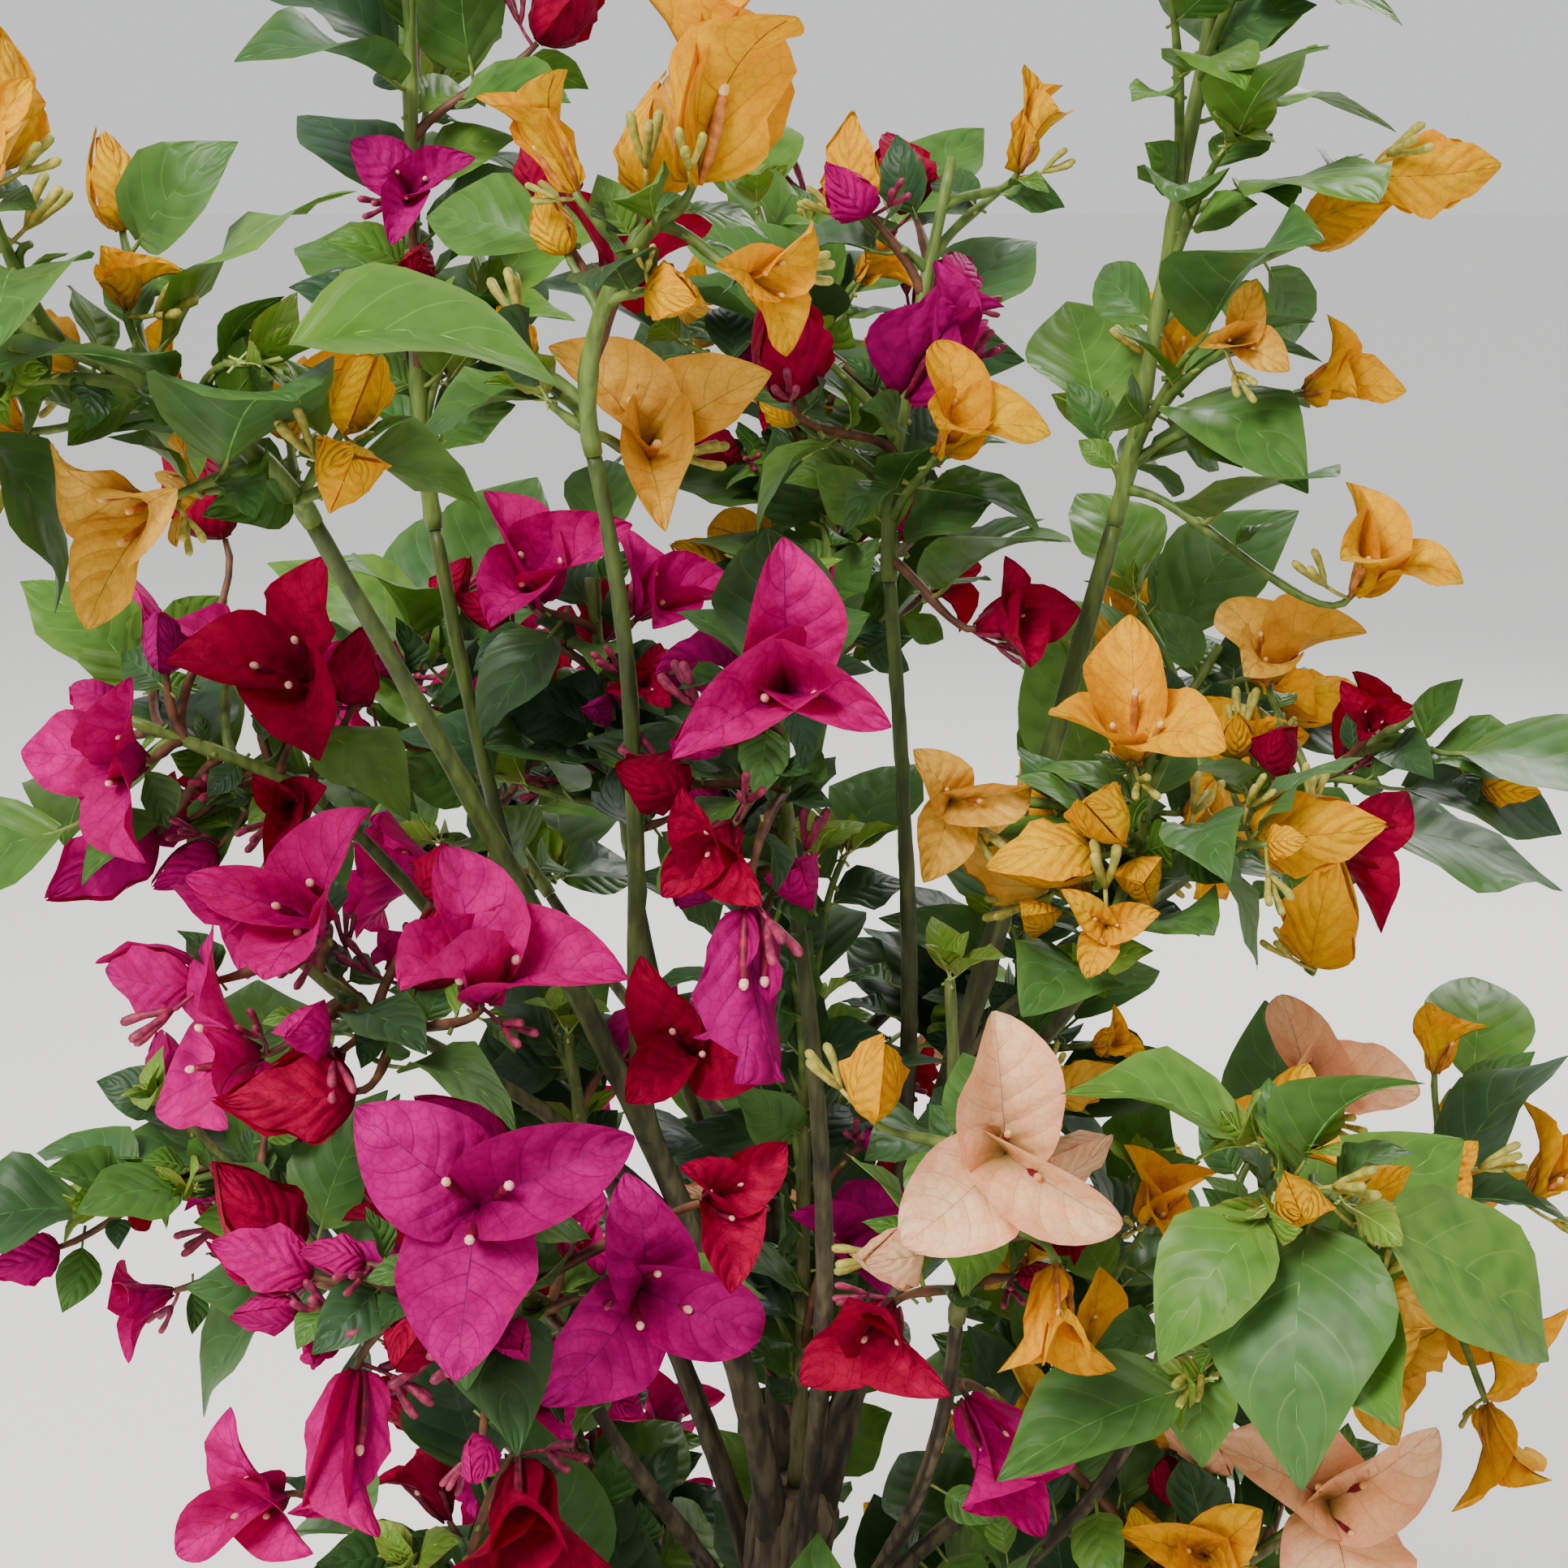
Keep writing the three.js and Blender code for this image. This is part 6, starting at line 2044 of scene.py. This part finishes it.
@dataclass(frozen=True)
class Wood:
    """Bark: two colours in long streaks and a dark third in its cracks, partly painted shade in these
    recesses; younger and greener further up.
    """

    light: str
    dark: str
    crack: str
    grain: float
    young: str
    young_dark: str
    young_from: float
    young_to: float
    rough: float = 0.82

    def material(self, name: str) -> bpy.types.Material:
        """Builds the material.

        Args:
            name: The material's name.

        Returns:
            The material.
        """
        shader = Shader(name)
        streaks = shader.noise(self.grain, 3.0, (1, 1, 0.22))
        patches = shader.noise(self.grain * 4, 2.0)
        _, _, crack = shader.parts(shader.attribute(PLACE))
        old = shader.blend(streaks.step(0.32, 0.68), self.dark, self.light)
        young = shader.blend(streaks.step(0.3, 0.7), self.young_dark, self.young)
        _, _, height = shader.parts(shader.place)
        age = (height + (patches - 0.5) * 0.12).step(self.young_from, self.young_to)
        base = shader.blend(age, old, young)
        # Darker in the cracks: partly the bark's own colour, partly painted shade in these recesses.
        base = shader.blend(crack.step(0.1, 0.8) * (0.85 - 0.5 * age), base, self.crack)
        return shader.finish(shader.add("ShaderNodeBsdfPrincipled", {}, {
            "Base Color": base,
            "Roughness": self.rough - 0.25 * age,
            "Specular IOR Level": 0.3,
            "Normal": shader.bump(streaks * (1.0 - age * 0.7), 0.9),
        }))


@dataclass(frozen=True)
class Thin:
    """A leaf or a bract: mottled, veined and lit through from behind.

    Each blade has its own tone between two colours. Its foot and its margin have a colour of their own; a
    bract's darker foot is partly painted shade.
    """

    base: str
    other: str
    deep: str
    net: str
    foot: str
    margin: str
    through: str
    glow: float = 0.22
    net_size: float = 2.4
    net_share: float = 0.0
    foot_reach: float = 0.25
    foot_colour_and_shade_share: float = 0.4
    margin_share: float = 0.3
    rough: float = 0.44
    sheen: float = 0.26
    relief: float = 0.16
    veins: float = 5.0
    vein_rise: float = 0.34
    vein_width: float = 0.05
    vein_share: float = 0.45
    vein_shift: float = 0.45

    def material(self, name: str) -> bpy.types.Material:
        """Builds the material: a Principled surface mixed with a Translucent one by a fixed share.

        Args:
            name: The material's name.

        Returns:
            The material.
        """
        shader = Shader(name)
        flat = shader.attribute(FLAT)
        along, side, tone = shader.parts(shader.attribute(PLACE))
        off = side.maths("ABSOLUTE")
        mottle = shader.flat_noise(flat, 7.0, 1.0)
        shift = side.maths("GREATER_THAN", 0.0) * self.vein_shift
        branch = (along - off.maths("POWER", 1.3) * self.vein_rise) * self.veins + shift
        gap = (branch.maths("FRACT") - 0.5).maths("ABSOLUTE")
        vein = (1.0 - gap.step(0.0, self.vein_width)) * (1.0 - off.step(0.6, 1.0) * 0.8)
        base = shader.blend(tone, self.base, self.other)
        base = shader.blend(mottle.step(0.35, 0.75) * 0.6, base, self.deep)
        base = shader.blend(off.step(0.6, 1.0) * self.margin_share, base, self.margin)
        # Towards the foot: on leaves a paler colour of their own, on bracts a darker one that is partly
        # painted shade in the blossom's throat.
        foot = (1.0 - along.step(0.02, self.foot_reach)) * self.foot_colour_and_shade_share
        base = shader.blend(foot, base, self.foot)
        base = shader.blend(vein * self.vein_share, base, self.net)
        height = gap.step(0.0, 0.4) * 1.4
        if self.net_share:
            cells = shader.cells(flat, self.net_size)
            base = shader.blend((1.0 - cells.step(0.0, 0.14)) * self.net_share, base, self.net)
            height = height + shader.flat_noise(flat, self.net_size, 0.0)
        body = shader.add("ShaderNodeBsdfPrincipled", {}, {
            "Base Color": base,
            "Roughness": self.rough + 0.14 * (mottle - 0.5),
            "Specular IOR Level": self.sheen,
            "Normal": shader.bump(height, self.relief),
        })
        back = shader.add("ShaderNodeBsdfTranslucent", {}, {"Color": self.through})
        mixed = shader.add("ShaderNodeMixShader", {}, {0: self.glow, 1: body.outputs[0], 2: back.outputs[0]})
        return shader.finish(mixed)


@dataclass(frozen=True)
class Papery(Thin):
    """A bract: dull, thinner than a leaf, and crossed by a fine net of veins."""

    glow: float = 0.36
    net_share: float = 0.26
    foot_reach: float = 0.3
    foot_colour_and_shade_share: float = 0.6
    margin_share: float = 0.4
    rough: float = 0.54
    sheen: float = 0.05
    relief: float = 0.28
    veins: float = 6.0
    vein_rise: float = 0.3
    vein_width: float = 0.07
    vein_share: float = 0.5


@dataclass(frozen=True)
class Stalk:
    """A green or reddish young stem, a vein or a flower tube: smooth with a faint mottle."""

    base: str
    deep: str
    rough: float = 0.5
    grain: float = 4.0

    def material(self, name: str) -> bpy.types.Material:
        """Builds the material.

        Args:
            name: The material's name.

        Returns:
            The material.
        """
        shader = Shader(name)
        mottle = shader.noise(self.grain, 1.0)
        return shader.finish(shader.add("ShaderNodeBsdfPrincipled", {}, {
            "Base Color": shader.blend(mottle.step(0.35, 0.7), self.deep, self.base),
            "Roughness": self.rough + 0.15 * (mottle - 0.5),
            "Specular IOR Level": 0.3,
        }))


LEAVES = {
    Green.DEEP: Thin("38582a", "2c4a32", "26401e", "58783e", "547434", "4e7036", "6a9424"),
    Green.MIDDLE: Thin("50782e", "42683a", "385a22", "6e9248", "6c8c3c", "648838", "84b02c"),
    Green.BRIGHT: Thin("668e34", "527a2c", "446a24", "7ea24a", "84a244", "789a40", "98c432"),
    Green.YOUNG: Thin("8cac44", "749c34", "648c2c", "a4bc60", "a88448", "a07c48", "acd040",
                      glow=0.3, foot_reach=0.4, margin_share=0.45),
}
# The fifth colour of each is its foot's: darker than the base, partly painted shade in the blossom's throat.
BRACTS = {
    Shade.MAGENTA: Papery("da008e", "c4007a", "9a0058", "680038", "94003a", "b00064", "fc009c"),
    Shade.VIOLET: Papery("c80086", "b00074", "8a005a", "540038", "7c0038", "98005e", "ec009a"),
    Shade.CRIMSON: Papery("b80444", "9c0432", "740424", "4c0414", "680420", "88042c", "dc0854"),
    Shade.GOLD: Papery("f4c800", "f4b400", "e49800", "a85c00", "b88c00", "e89000", "f8d000"),
    Shade.AMBER: Papery("f8cc60", "e8b43c", "d09828", "946418", "b09430", "d89828", "ffdc68"),
    Shade.PEACH: Papery("ffe0b4", "ffd0a0", "fcba8c", "cc8058", "a8a038", "f49c84", "ffe0b0",
                        foot_colour_and_shade_share=0.75, margin_share=0.5),
}
LEAF_VEINS = {
    Green.DEEP: Stalk("548440", "407030"),
    Green.MIDDLE: Stalk("6ca048", "54883a"),
    Green.BRIGHT: Stalk("8cb450", "709e40"),
    Green.YOUNG: Stalk("b8cc70", "a0b454"),
}
BRACT_VEINS = {
    Shade.MAGENTA: Stalk("78003c", "640034", 0.55),
    Shade.VIOLET: Stalk("640044", "540038", 0.55),
    Shade.CRIMSON: Stalk("60001c", "500018", 0.55),
    Shade.GOLD: Stalk("a05c08", "884c08", 0.55),
    Shade.AMBER: Stalk("8c6420", "74501a", 0.55),
    Shade.PEACH: Stalk("b87858", "98704c", 0.55),
}
REDDISH = (Shade.MAGENTA, Shade.VIOLET, Shade.CRIMSON)
RED_SLOT = "magenta_blossom"
GOLD_SLOT = "gold_blossom"
SLOTS = {shade: RED_SLOT if shade in REDDISH else GOLD_SLOT for shade in Shade} | {
    Shade.PEACH: "peach_blossom",
}


def leaves_of(blades: list[Blade], seed: int) -> Leaves:
    """Turns the source's kites into a batch of leaves.

    Args:
        blades: The kites.
        seed: Where the leaves' small differences are drawn from.

    Returns:
        The batch.
    """
    x, y, z = (np.array(ways) for ways in zip(*(blade.frame() for blade in blades)))
    foot, length = (np.array([getattr(blade, name) for blade in blades]) for name in ("foot", "length"))
    return Leaves(foot, x, y, z, length, seed)


@dataclass
class Stems:
    """The stems and twigs that carry the leaves and blossoms, a little thicker where leaves leave them."""

    growth: Growth
    woody: Wood = Wood("6c683c", "504c2c", "38341f", 2.2, "6c8038", "506628", 0.2, 0.45, 0.66)
    green: Stalk = Stalk("6c8038", "4c6428")
    red: Stalk = Stalk("744c34", "543424", 0.55)
    steps: int = 5
    swell: float = 0.28
    swell_sharpness: float = 4.2
    twig_radii: tuple[float, float] = (1.45, 0.85)
    sides: int = 8

    def tube(self, skin: Skin, line: Line, radii: tuple[float, float], sides: int) -> None:
        """Adds one stem along its curve, tapered, and thicker at each of its inner points.

        Args:
            skin: The mesh to add to.
            line: The stem's line.
            radii: Its radii at its foot and its end.
            sides: Points round each ring.
        """
        count = (len(line.at) - 1) * self.steps
        share = np.linspace(0, 1, count + 1)
        radius = radii[0] + (radii[1] - radii[0]) * share
        place = share * (len(line.at) - 1)
        off = (place - np.round(place)) * self.swell_sharpness
        inner = (share > 0.5 / count) & (share < 1 - 0.5 / count)
        radius = radius * (1 + self.swell * inner * np.exp(-off**2))
        tubes(skin, line.curve.points(share)[None], radius[None], sides)

    def build(self) -> None:
        """Makes the three pieces: woody stems, green twigs and the reddish twigs of red blossoms."""
        woody, green, red = Skin(), Skin(), Skin()
        for spray in self.growth.sprays:
            self.tube(woody, spray.stem, spray.radii, self.sides)
            for line, end, _ in spray.twigs:
                self.tube(red if end.shade in REDDISH else green, line, self.twig_radii, self.sides - 1)
        woody.build("stems", self.woody, "bark", self.growth.nodes)
        green.build("twigs_green", self.green, "leaves", self.growth.nodes)
        red.build("twigs_reddish", self.red, "bark", self.growth.nodes)


@dataclass
class Foliage:
    """The leaves: large ones where the solids have them, and finer ones between."""

    growth: Growth
    large: Detail = Detail(13, 9, 7)
    small: Detail = Detail(9, 5, 5)
    limit: float = 46.0
    stalk_radius: float = 0.8
    stalk_finish: Stalk = Stalk("84903f", "647838")

    def build(self) -> None:
        """Makes a piece of leaves and a piece of their veins for each green, and one of all the stalks."""
        stalks = Skin()
        for i, green in enumerate(Green):
            own = [blade for spray in self.growth.sprays for blade, tone in spray.leaves if tone is green]
            if not own:
                continue
            skin, veins = Skin(), Skin()
            for large in (True, False):
                blades = [blade for blade in own if (blade.length > self.limit) is large]
                if not blades:
                    continue
                leaves = leaves_of(blades, 2 * i + large)
                detail = self.large if large else self.small
                leaves.shells(skin, detail)
                leaves.midribs(veins, detail)
                leaves.stalks(stalks, self.stalk_radius)
            skin.build(f"leaves_{green.value}", LEAVES[green], "leaves", self.growth.nodes)
            veins.build(f"leaf_veins_{green.value}", LEAF_VEINS[green], "leaves", self.growth.nodes)
        stalks.build("leaf_stalks", self.stalk_finish, "leaves", self.growth.nodes)


@dataclass
class Tips:
    """The growing tips: a few small light leaves, still half folded, at the end of every stem and shoot."""

    growth: Growth
    leaves: int = 5
    lengths: tuple[float, float] = (20.0, 8.0)
    clear_of: float = 26.0
    stalk_radius: float = 0.6
    rise: tuple[float, float] = (0.7, 0.5)
    facing: tuple[float, float, float] = (0.8, 0.4, 0.4)
    gap: float = 0.5
    chances: int = 901
    seed: int = 77
    detail: Detail = Detail(7, 5, 4)

    def build(self) -> None:
        """Makes a piece of young leaves and a piece of their midribs and stalks."""
        blades, dice = [], Dice(self.chances)
        for spray in self.growth.sprays:
            lines = [spray.stem] + [line for line, end, _ in spray.twigs if end.kind is Kind.LEAF]
            for line in lines:
                at, along = line.at[-1], line.along[-1]
                if min(np.linalg.norm(at - end.at) for end in self.growth.faces) < self.clear_of:
                    continue
                sides = square_to(along, UP)
                for k in range(self.leaves):
                    out = around(sides, k * GOLDEN_ANGLE + dice.roll())
                    heading = out + along * (self.rise[0] + self.rise[1] * k)
                    first, last = self.lengths
                    size = first + (last - first) * (k + 0.5 * dice.roll()) / self.leaves
                    on, up, back = self.facing
                    face = along * on + UP * up - out * back
                    blades.append(leaf_blade(at + along * (self.gap * k), heading, face, size))
        young = leaves_of(blades, self.seed)
        skin, veins = Skin(), Skin()
        young.shells(skin, self.detail)
        young.midribs(veins, self.detail)
        young.stalks(veins, self.stalk_radius)
        skin.build("leaves_young", LEAVES[Green.YOUNG], "leaves", self.growth.nodes)
        veins.build("leaf_veins_young", LEAF_VEINS[Green.YOUNG], "leaves", self.growth.nodes)


@dataclass
class Blossoms:
    """The blossoms: open ones of three papery bracts, rounder on the peach ones, and closed ones."""

    growth: Growth
    large: Detail = Detail(17, 11, 9)
    small: Detail = Detail(12, 7, 6)
    limit: float = 31.0
    tube_red: Stalk = Stalk("8e1238", "5e0c28", 0.5, 2.0)
    tube_gold: Stalk = Stalk("c87a34", "9c5a26", 0.5, 2.0)
    knob_pale: Stalk = Stalk("f4c8b0", "e09c88", 0.6, 1.2)
    knob_gold: Stalk = Stalk("eecb84", "d8a058", 0.6, 1.2)
    round_spread: float = 1.26
    round_fullness: float = 0.62
    young_chance: float = 0.7
    young_length: tuple[float, float] = (7.5, 12.5)
    young_back: float = 1.5
    young_out: float = 0.75
    young_rise: tuple[float, float] = (0.1, 0.4)
    young_bow: float = 0.08
    young_way: float = 0.3
    young_stalk: float = 0.55
    prong_shares: tuple[float, ...] = (0, 0.25, 0.5, 0.75, 0.93, 1.0)
    prong_radii: tuple[float, ...] = (0.45, 0.85, 0.8, 1.05, 1.0, 0.5)
    prong_spread: float = 0.3
    prong_turn: float = 0.45
    young_red: Stalk = Stalk("a03050", "70203c", 0.5, 2.0)
    young_gold: Stalk = Stalk("b8a848", "8a8a38", 0.5, 2.0)

    def young(self, skin: Skin, ends: list[tuple[End, float]], dice: Dice) -> None:
        """Adds young blossoms beside the feet of grown ones: a short stalk and three slim closed prongs.

        Args:
            skin: The mesh to add to.
            ends: The grown blossoms, each with its turn round its axis.
            dice: Where the chances come from.
        """
        stalks, prongs, sizes = [], [], []
        for end, turn in ends:
            if dice.roll() > self.young_chance:
                continue
            sides = square_to(end.face, UP)
            out = around(sides, turn + math.pi / 3 + 0.5 * dice.roll())
            size = self.young_length[0] + (self.young_length[1] - self.young_length[0]) * dice.roll()
            start = end.at - end.face * self.young_back
            top = start + out * size * self.young_out + end.face * size * dice.above(*self.young_rise)
            stalks.append((start, (start + top) / 2 + out * size * self.young_bow, top))
            way = unit(top - start + end.face * size * self.young_way)
            for k in range(3):
                lean = around(square_to(way, UP), turn + k * 2 * math.pi / 3)
                steps = np.array(self.prong_shares)[:, None]
                off = lean * np.sin(steps * np.pi * self.prong_turn) * self.prong_spread
                prongs.append(top + (way * steps + off) * size)
                sizes.append(size / 10)
        if not stalks:
            return
        tubes(skin, np.array(stalks), np.full((len(stalks), 3), self.young_stalk), 5)
        radii = np.array(sizes)[:, None] * np.array(self.prong_radii)
        tubes(skin, np.array(prongs), radii, 6)

    def build(self) -> None:
        """Makes a piece of bracts and a piece of veins for each shade, and the flower tubes and knobs."""
        red, gold, pale, warm = Skin(), Skin(), Skin(), Skin()
        young_red, young_gold = Skin(), Skin()
        twigs = [(end, turn) for spray in self.growth.sprays for _, end, turn in spray.twigs]
        for i, shade in enumerate(Shade):
            skin, veins = Skin(), Skin()
            own = [pair for pair in twigs if pair[0].shade is shade]
            for kind, large in product((Kind.BLOSSOM, Kind.LANTERN), (True, False)):
                chosen = [
                    pair for pair in own
                    if pair[0].kind is kind and (pair[0].size > self.limit) is large
                ]
                if not chosen:
                    continue
                batch = Bracts if kind is Kind.BLOSSOM else Lanterns
                detail = self.large if large else self.small
                bracts = batch([end for end, _ in chosen], [turn for _, turn in chosen], 20 + 2 * i + large)
                if kind is Kind.BLOSSOM and shade is Shade.PEACH:
                    bracts.spread, bracts.fullness = self.round_spread, self.round_fullness
                bracts.shells(skin, detail)
                bracts.midribs(veins, detail)
                if kind is Kind.BLOSSOM:
                    bracts.stamens(red if shade in REDDISH or shade is Shade.PEACH else gold,
                                   pale if shade in REDDISH else warm)
            self.young(young_red if shade in REDDISH else young_gold, own, Dice(500 + i))
            skin.build(f"bracts_{shade.value}", BRACTS[shade], SLOTS[shade], self.growth.nodes)
            veins.build(f"bract_veins_{shade.value}", BRACT_VEINS[shade], SLOTS[shade], self.growth.nodes)
        for skin, name, finish, slot in (
            (red, "flower_tubes_red", self.tube_red, RED_SLOT),
            (gold, "flower_tubes_gold", self.tube_gold, GOLD_SLOT),
            (pale, "flower_knobs_pale", self.knob_pale, RED_SLOT),
            (warm, "flower_knobs_warm", self.knob_gold, GOLD_SLOT),
            (young_red, "young_blossoms_red", self.young_red, RED_SLOT),
            (young_gold, "young_blossoms_gold", self.young_gold, GOLD_SLOT),
        ):
            skin.build(name, finish, slot, self.growth.nodes)


@dataclass(frozen=True)
class Lamp:
    """A square soft light: where it stands, how wide it is, its power and its colour."""

    name: str
    place: Point
    width: float
    power: float
    tint: Point


@dataclass
class Studio:
    """The camera, the soft lights, the pale surroundings and the floor."""

    target: Point = (0.0, 0.0, 0.4)
    distance: float = 0.78
    look_down: float = 12.0
    lens: float = 66.07
    floor_radius: float = 40.0
    floor_corners: int = 96
    floor_tone: str = "f6f5f2"
    sky: Point = (0.98, 0.99, 1.0)
    sky_strength: float = 0.85
    lamps: tuple[Lamp, ...] = (
        Lamp("key", (-0.9, -1.5, 1.9), 0.9, 84.0, (1.0, 0.98, 0.95)),
        Lamp("back", (0.8, 1.6, 1.6), 0.9, 30.0, (1.0, 0.98, 0.95)),
    )

    def build(self) -> None:
        """Sets up the whole studio."""
        scene = bpy.context.scene
        camera = bpy.data.objects.new("camera", bpy.data.cameras.new("camera"))
        tilt = math.radians(self.look_down)
        back = Vector((0, -math.cos(tilt), math.sin(tilt)))
        camera.location = Vector(self.target) + back * self.distance
        camera.rotation_euler = (-back).to_track_quat("-Z", "Y").to_euler()
        camera.data.lens = self.lens
        camera.data.clip_start = 0.01
        scene.collection.objects.link(camera)
        scene.camera = camera
        for lamp in self.lamps:
            data = bpy.data.lights.new(lamp.name, "AREA")
            data.size, data.energy, data.color = lamp.width, lamp.power, lamp.tint
            light = bpy.data.objects.new(lamp.name, data)
            light.location = lamp.place
            light.rotation_euler = (Vector(self.target) - light.location).to_track_quat("-Z", "Y").to_euler()
            scene.collection.objects.link(light)
        world = bpy.data.worlds.new("studio")
        world.use_nodes = True
        sky = world.node_tree.nodes["Background"]
        sky.inputs["Color"].default_value = (*self.sky, 1.0)
        sky.inputs["Strength"].default_value = self.sky_strength
        scene.world = world
        self.floor()

    def floor(self) -> None:
        """A wide pale disc, just under the plant's foot."""
        angle = np.arange(self.floor_corners) * 2 * np.pi / self.floor_corners
        ring = np.stack((np.cos(angle), np.sin(angle), 0 * angle), 1) * self.floor_radius
        ring[:, 2] = -0.0002
        mesh = bpy.data.meshes.new("floor")
        mesh.from_pydata(ring.tolist(), [], [tuple(range(self.floor_corners))])
        shader = Shader("floor")
        mesh.materials.append(shader.finish(shader.add("ShaderNodeBsdfPrincipled", {}, {
            "Base Color": self.floor_tone, "Roughness": 0.9,
        })))
        floor = bpy.data.objects.new("floor", mesh)
        bpy.context.scene.collection.objects.link(floor)


def main() -> None:
    """Builds the plant and its studio in order; each piece logs its triangle count."""
    logging.basicConfig(level=logging.INFO, format="%(message)s")
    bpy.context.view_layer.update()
    growth = Growth()
    Trunk(growth.limbs).build(
        Wood("807058", "4e4234", "241c14", 5.0, "8c8a5c", "6c6a44", 0.5, 0.9),
        Wood("645840", "3e3426", "241c14", 3.0, "566828", "3a4a1e", 0.26, 0.42, 0.7),
    )
    Stems(growth).build()
    Foliage(growth).build()
    Tips(growth).build()
    Blossoms(growth).build()
    Studio().build()


if __name__ == "__main__":
    main()
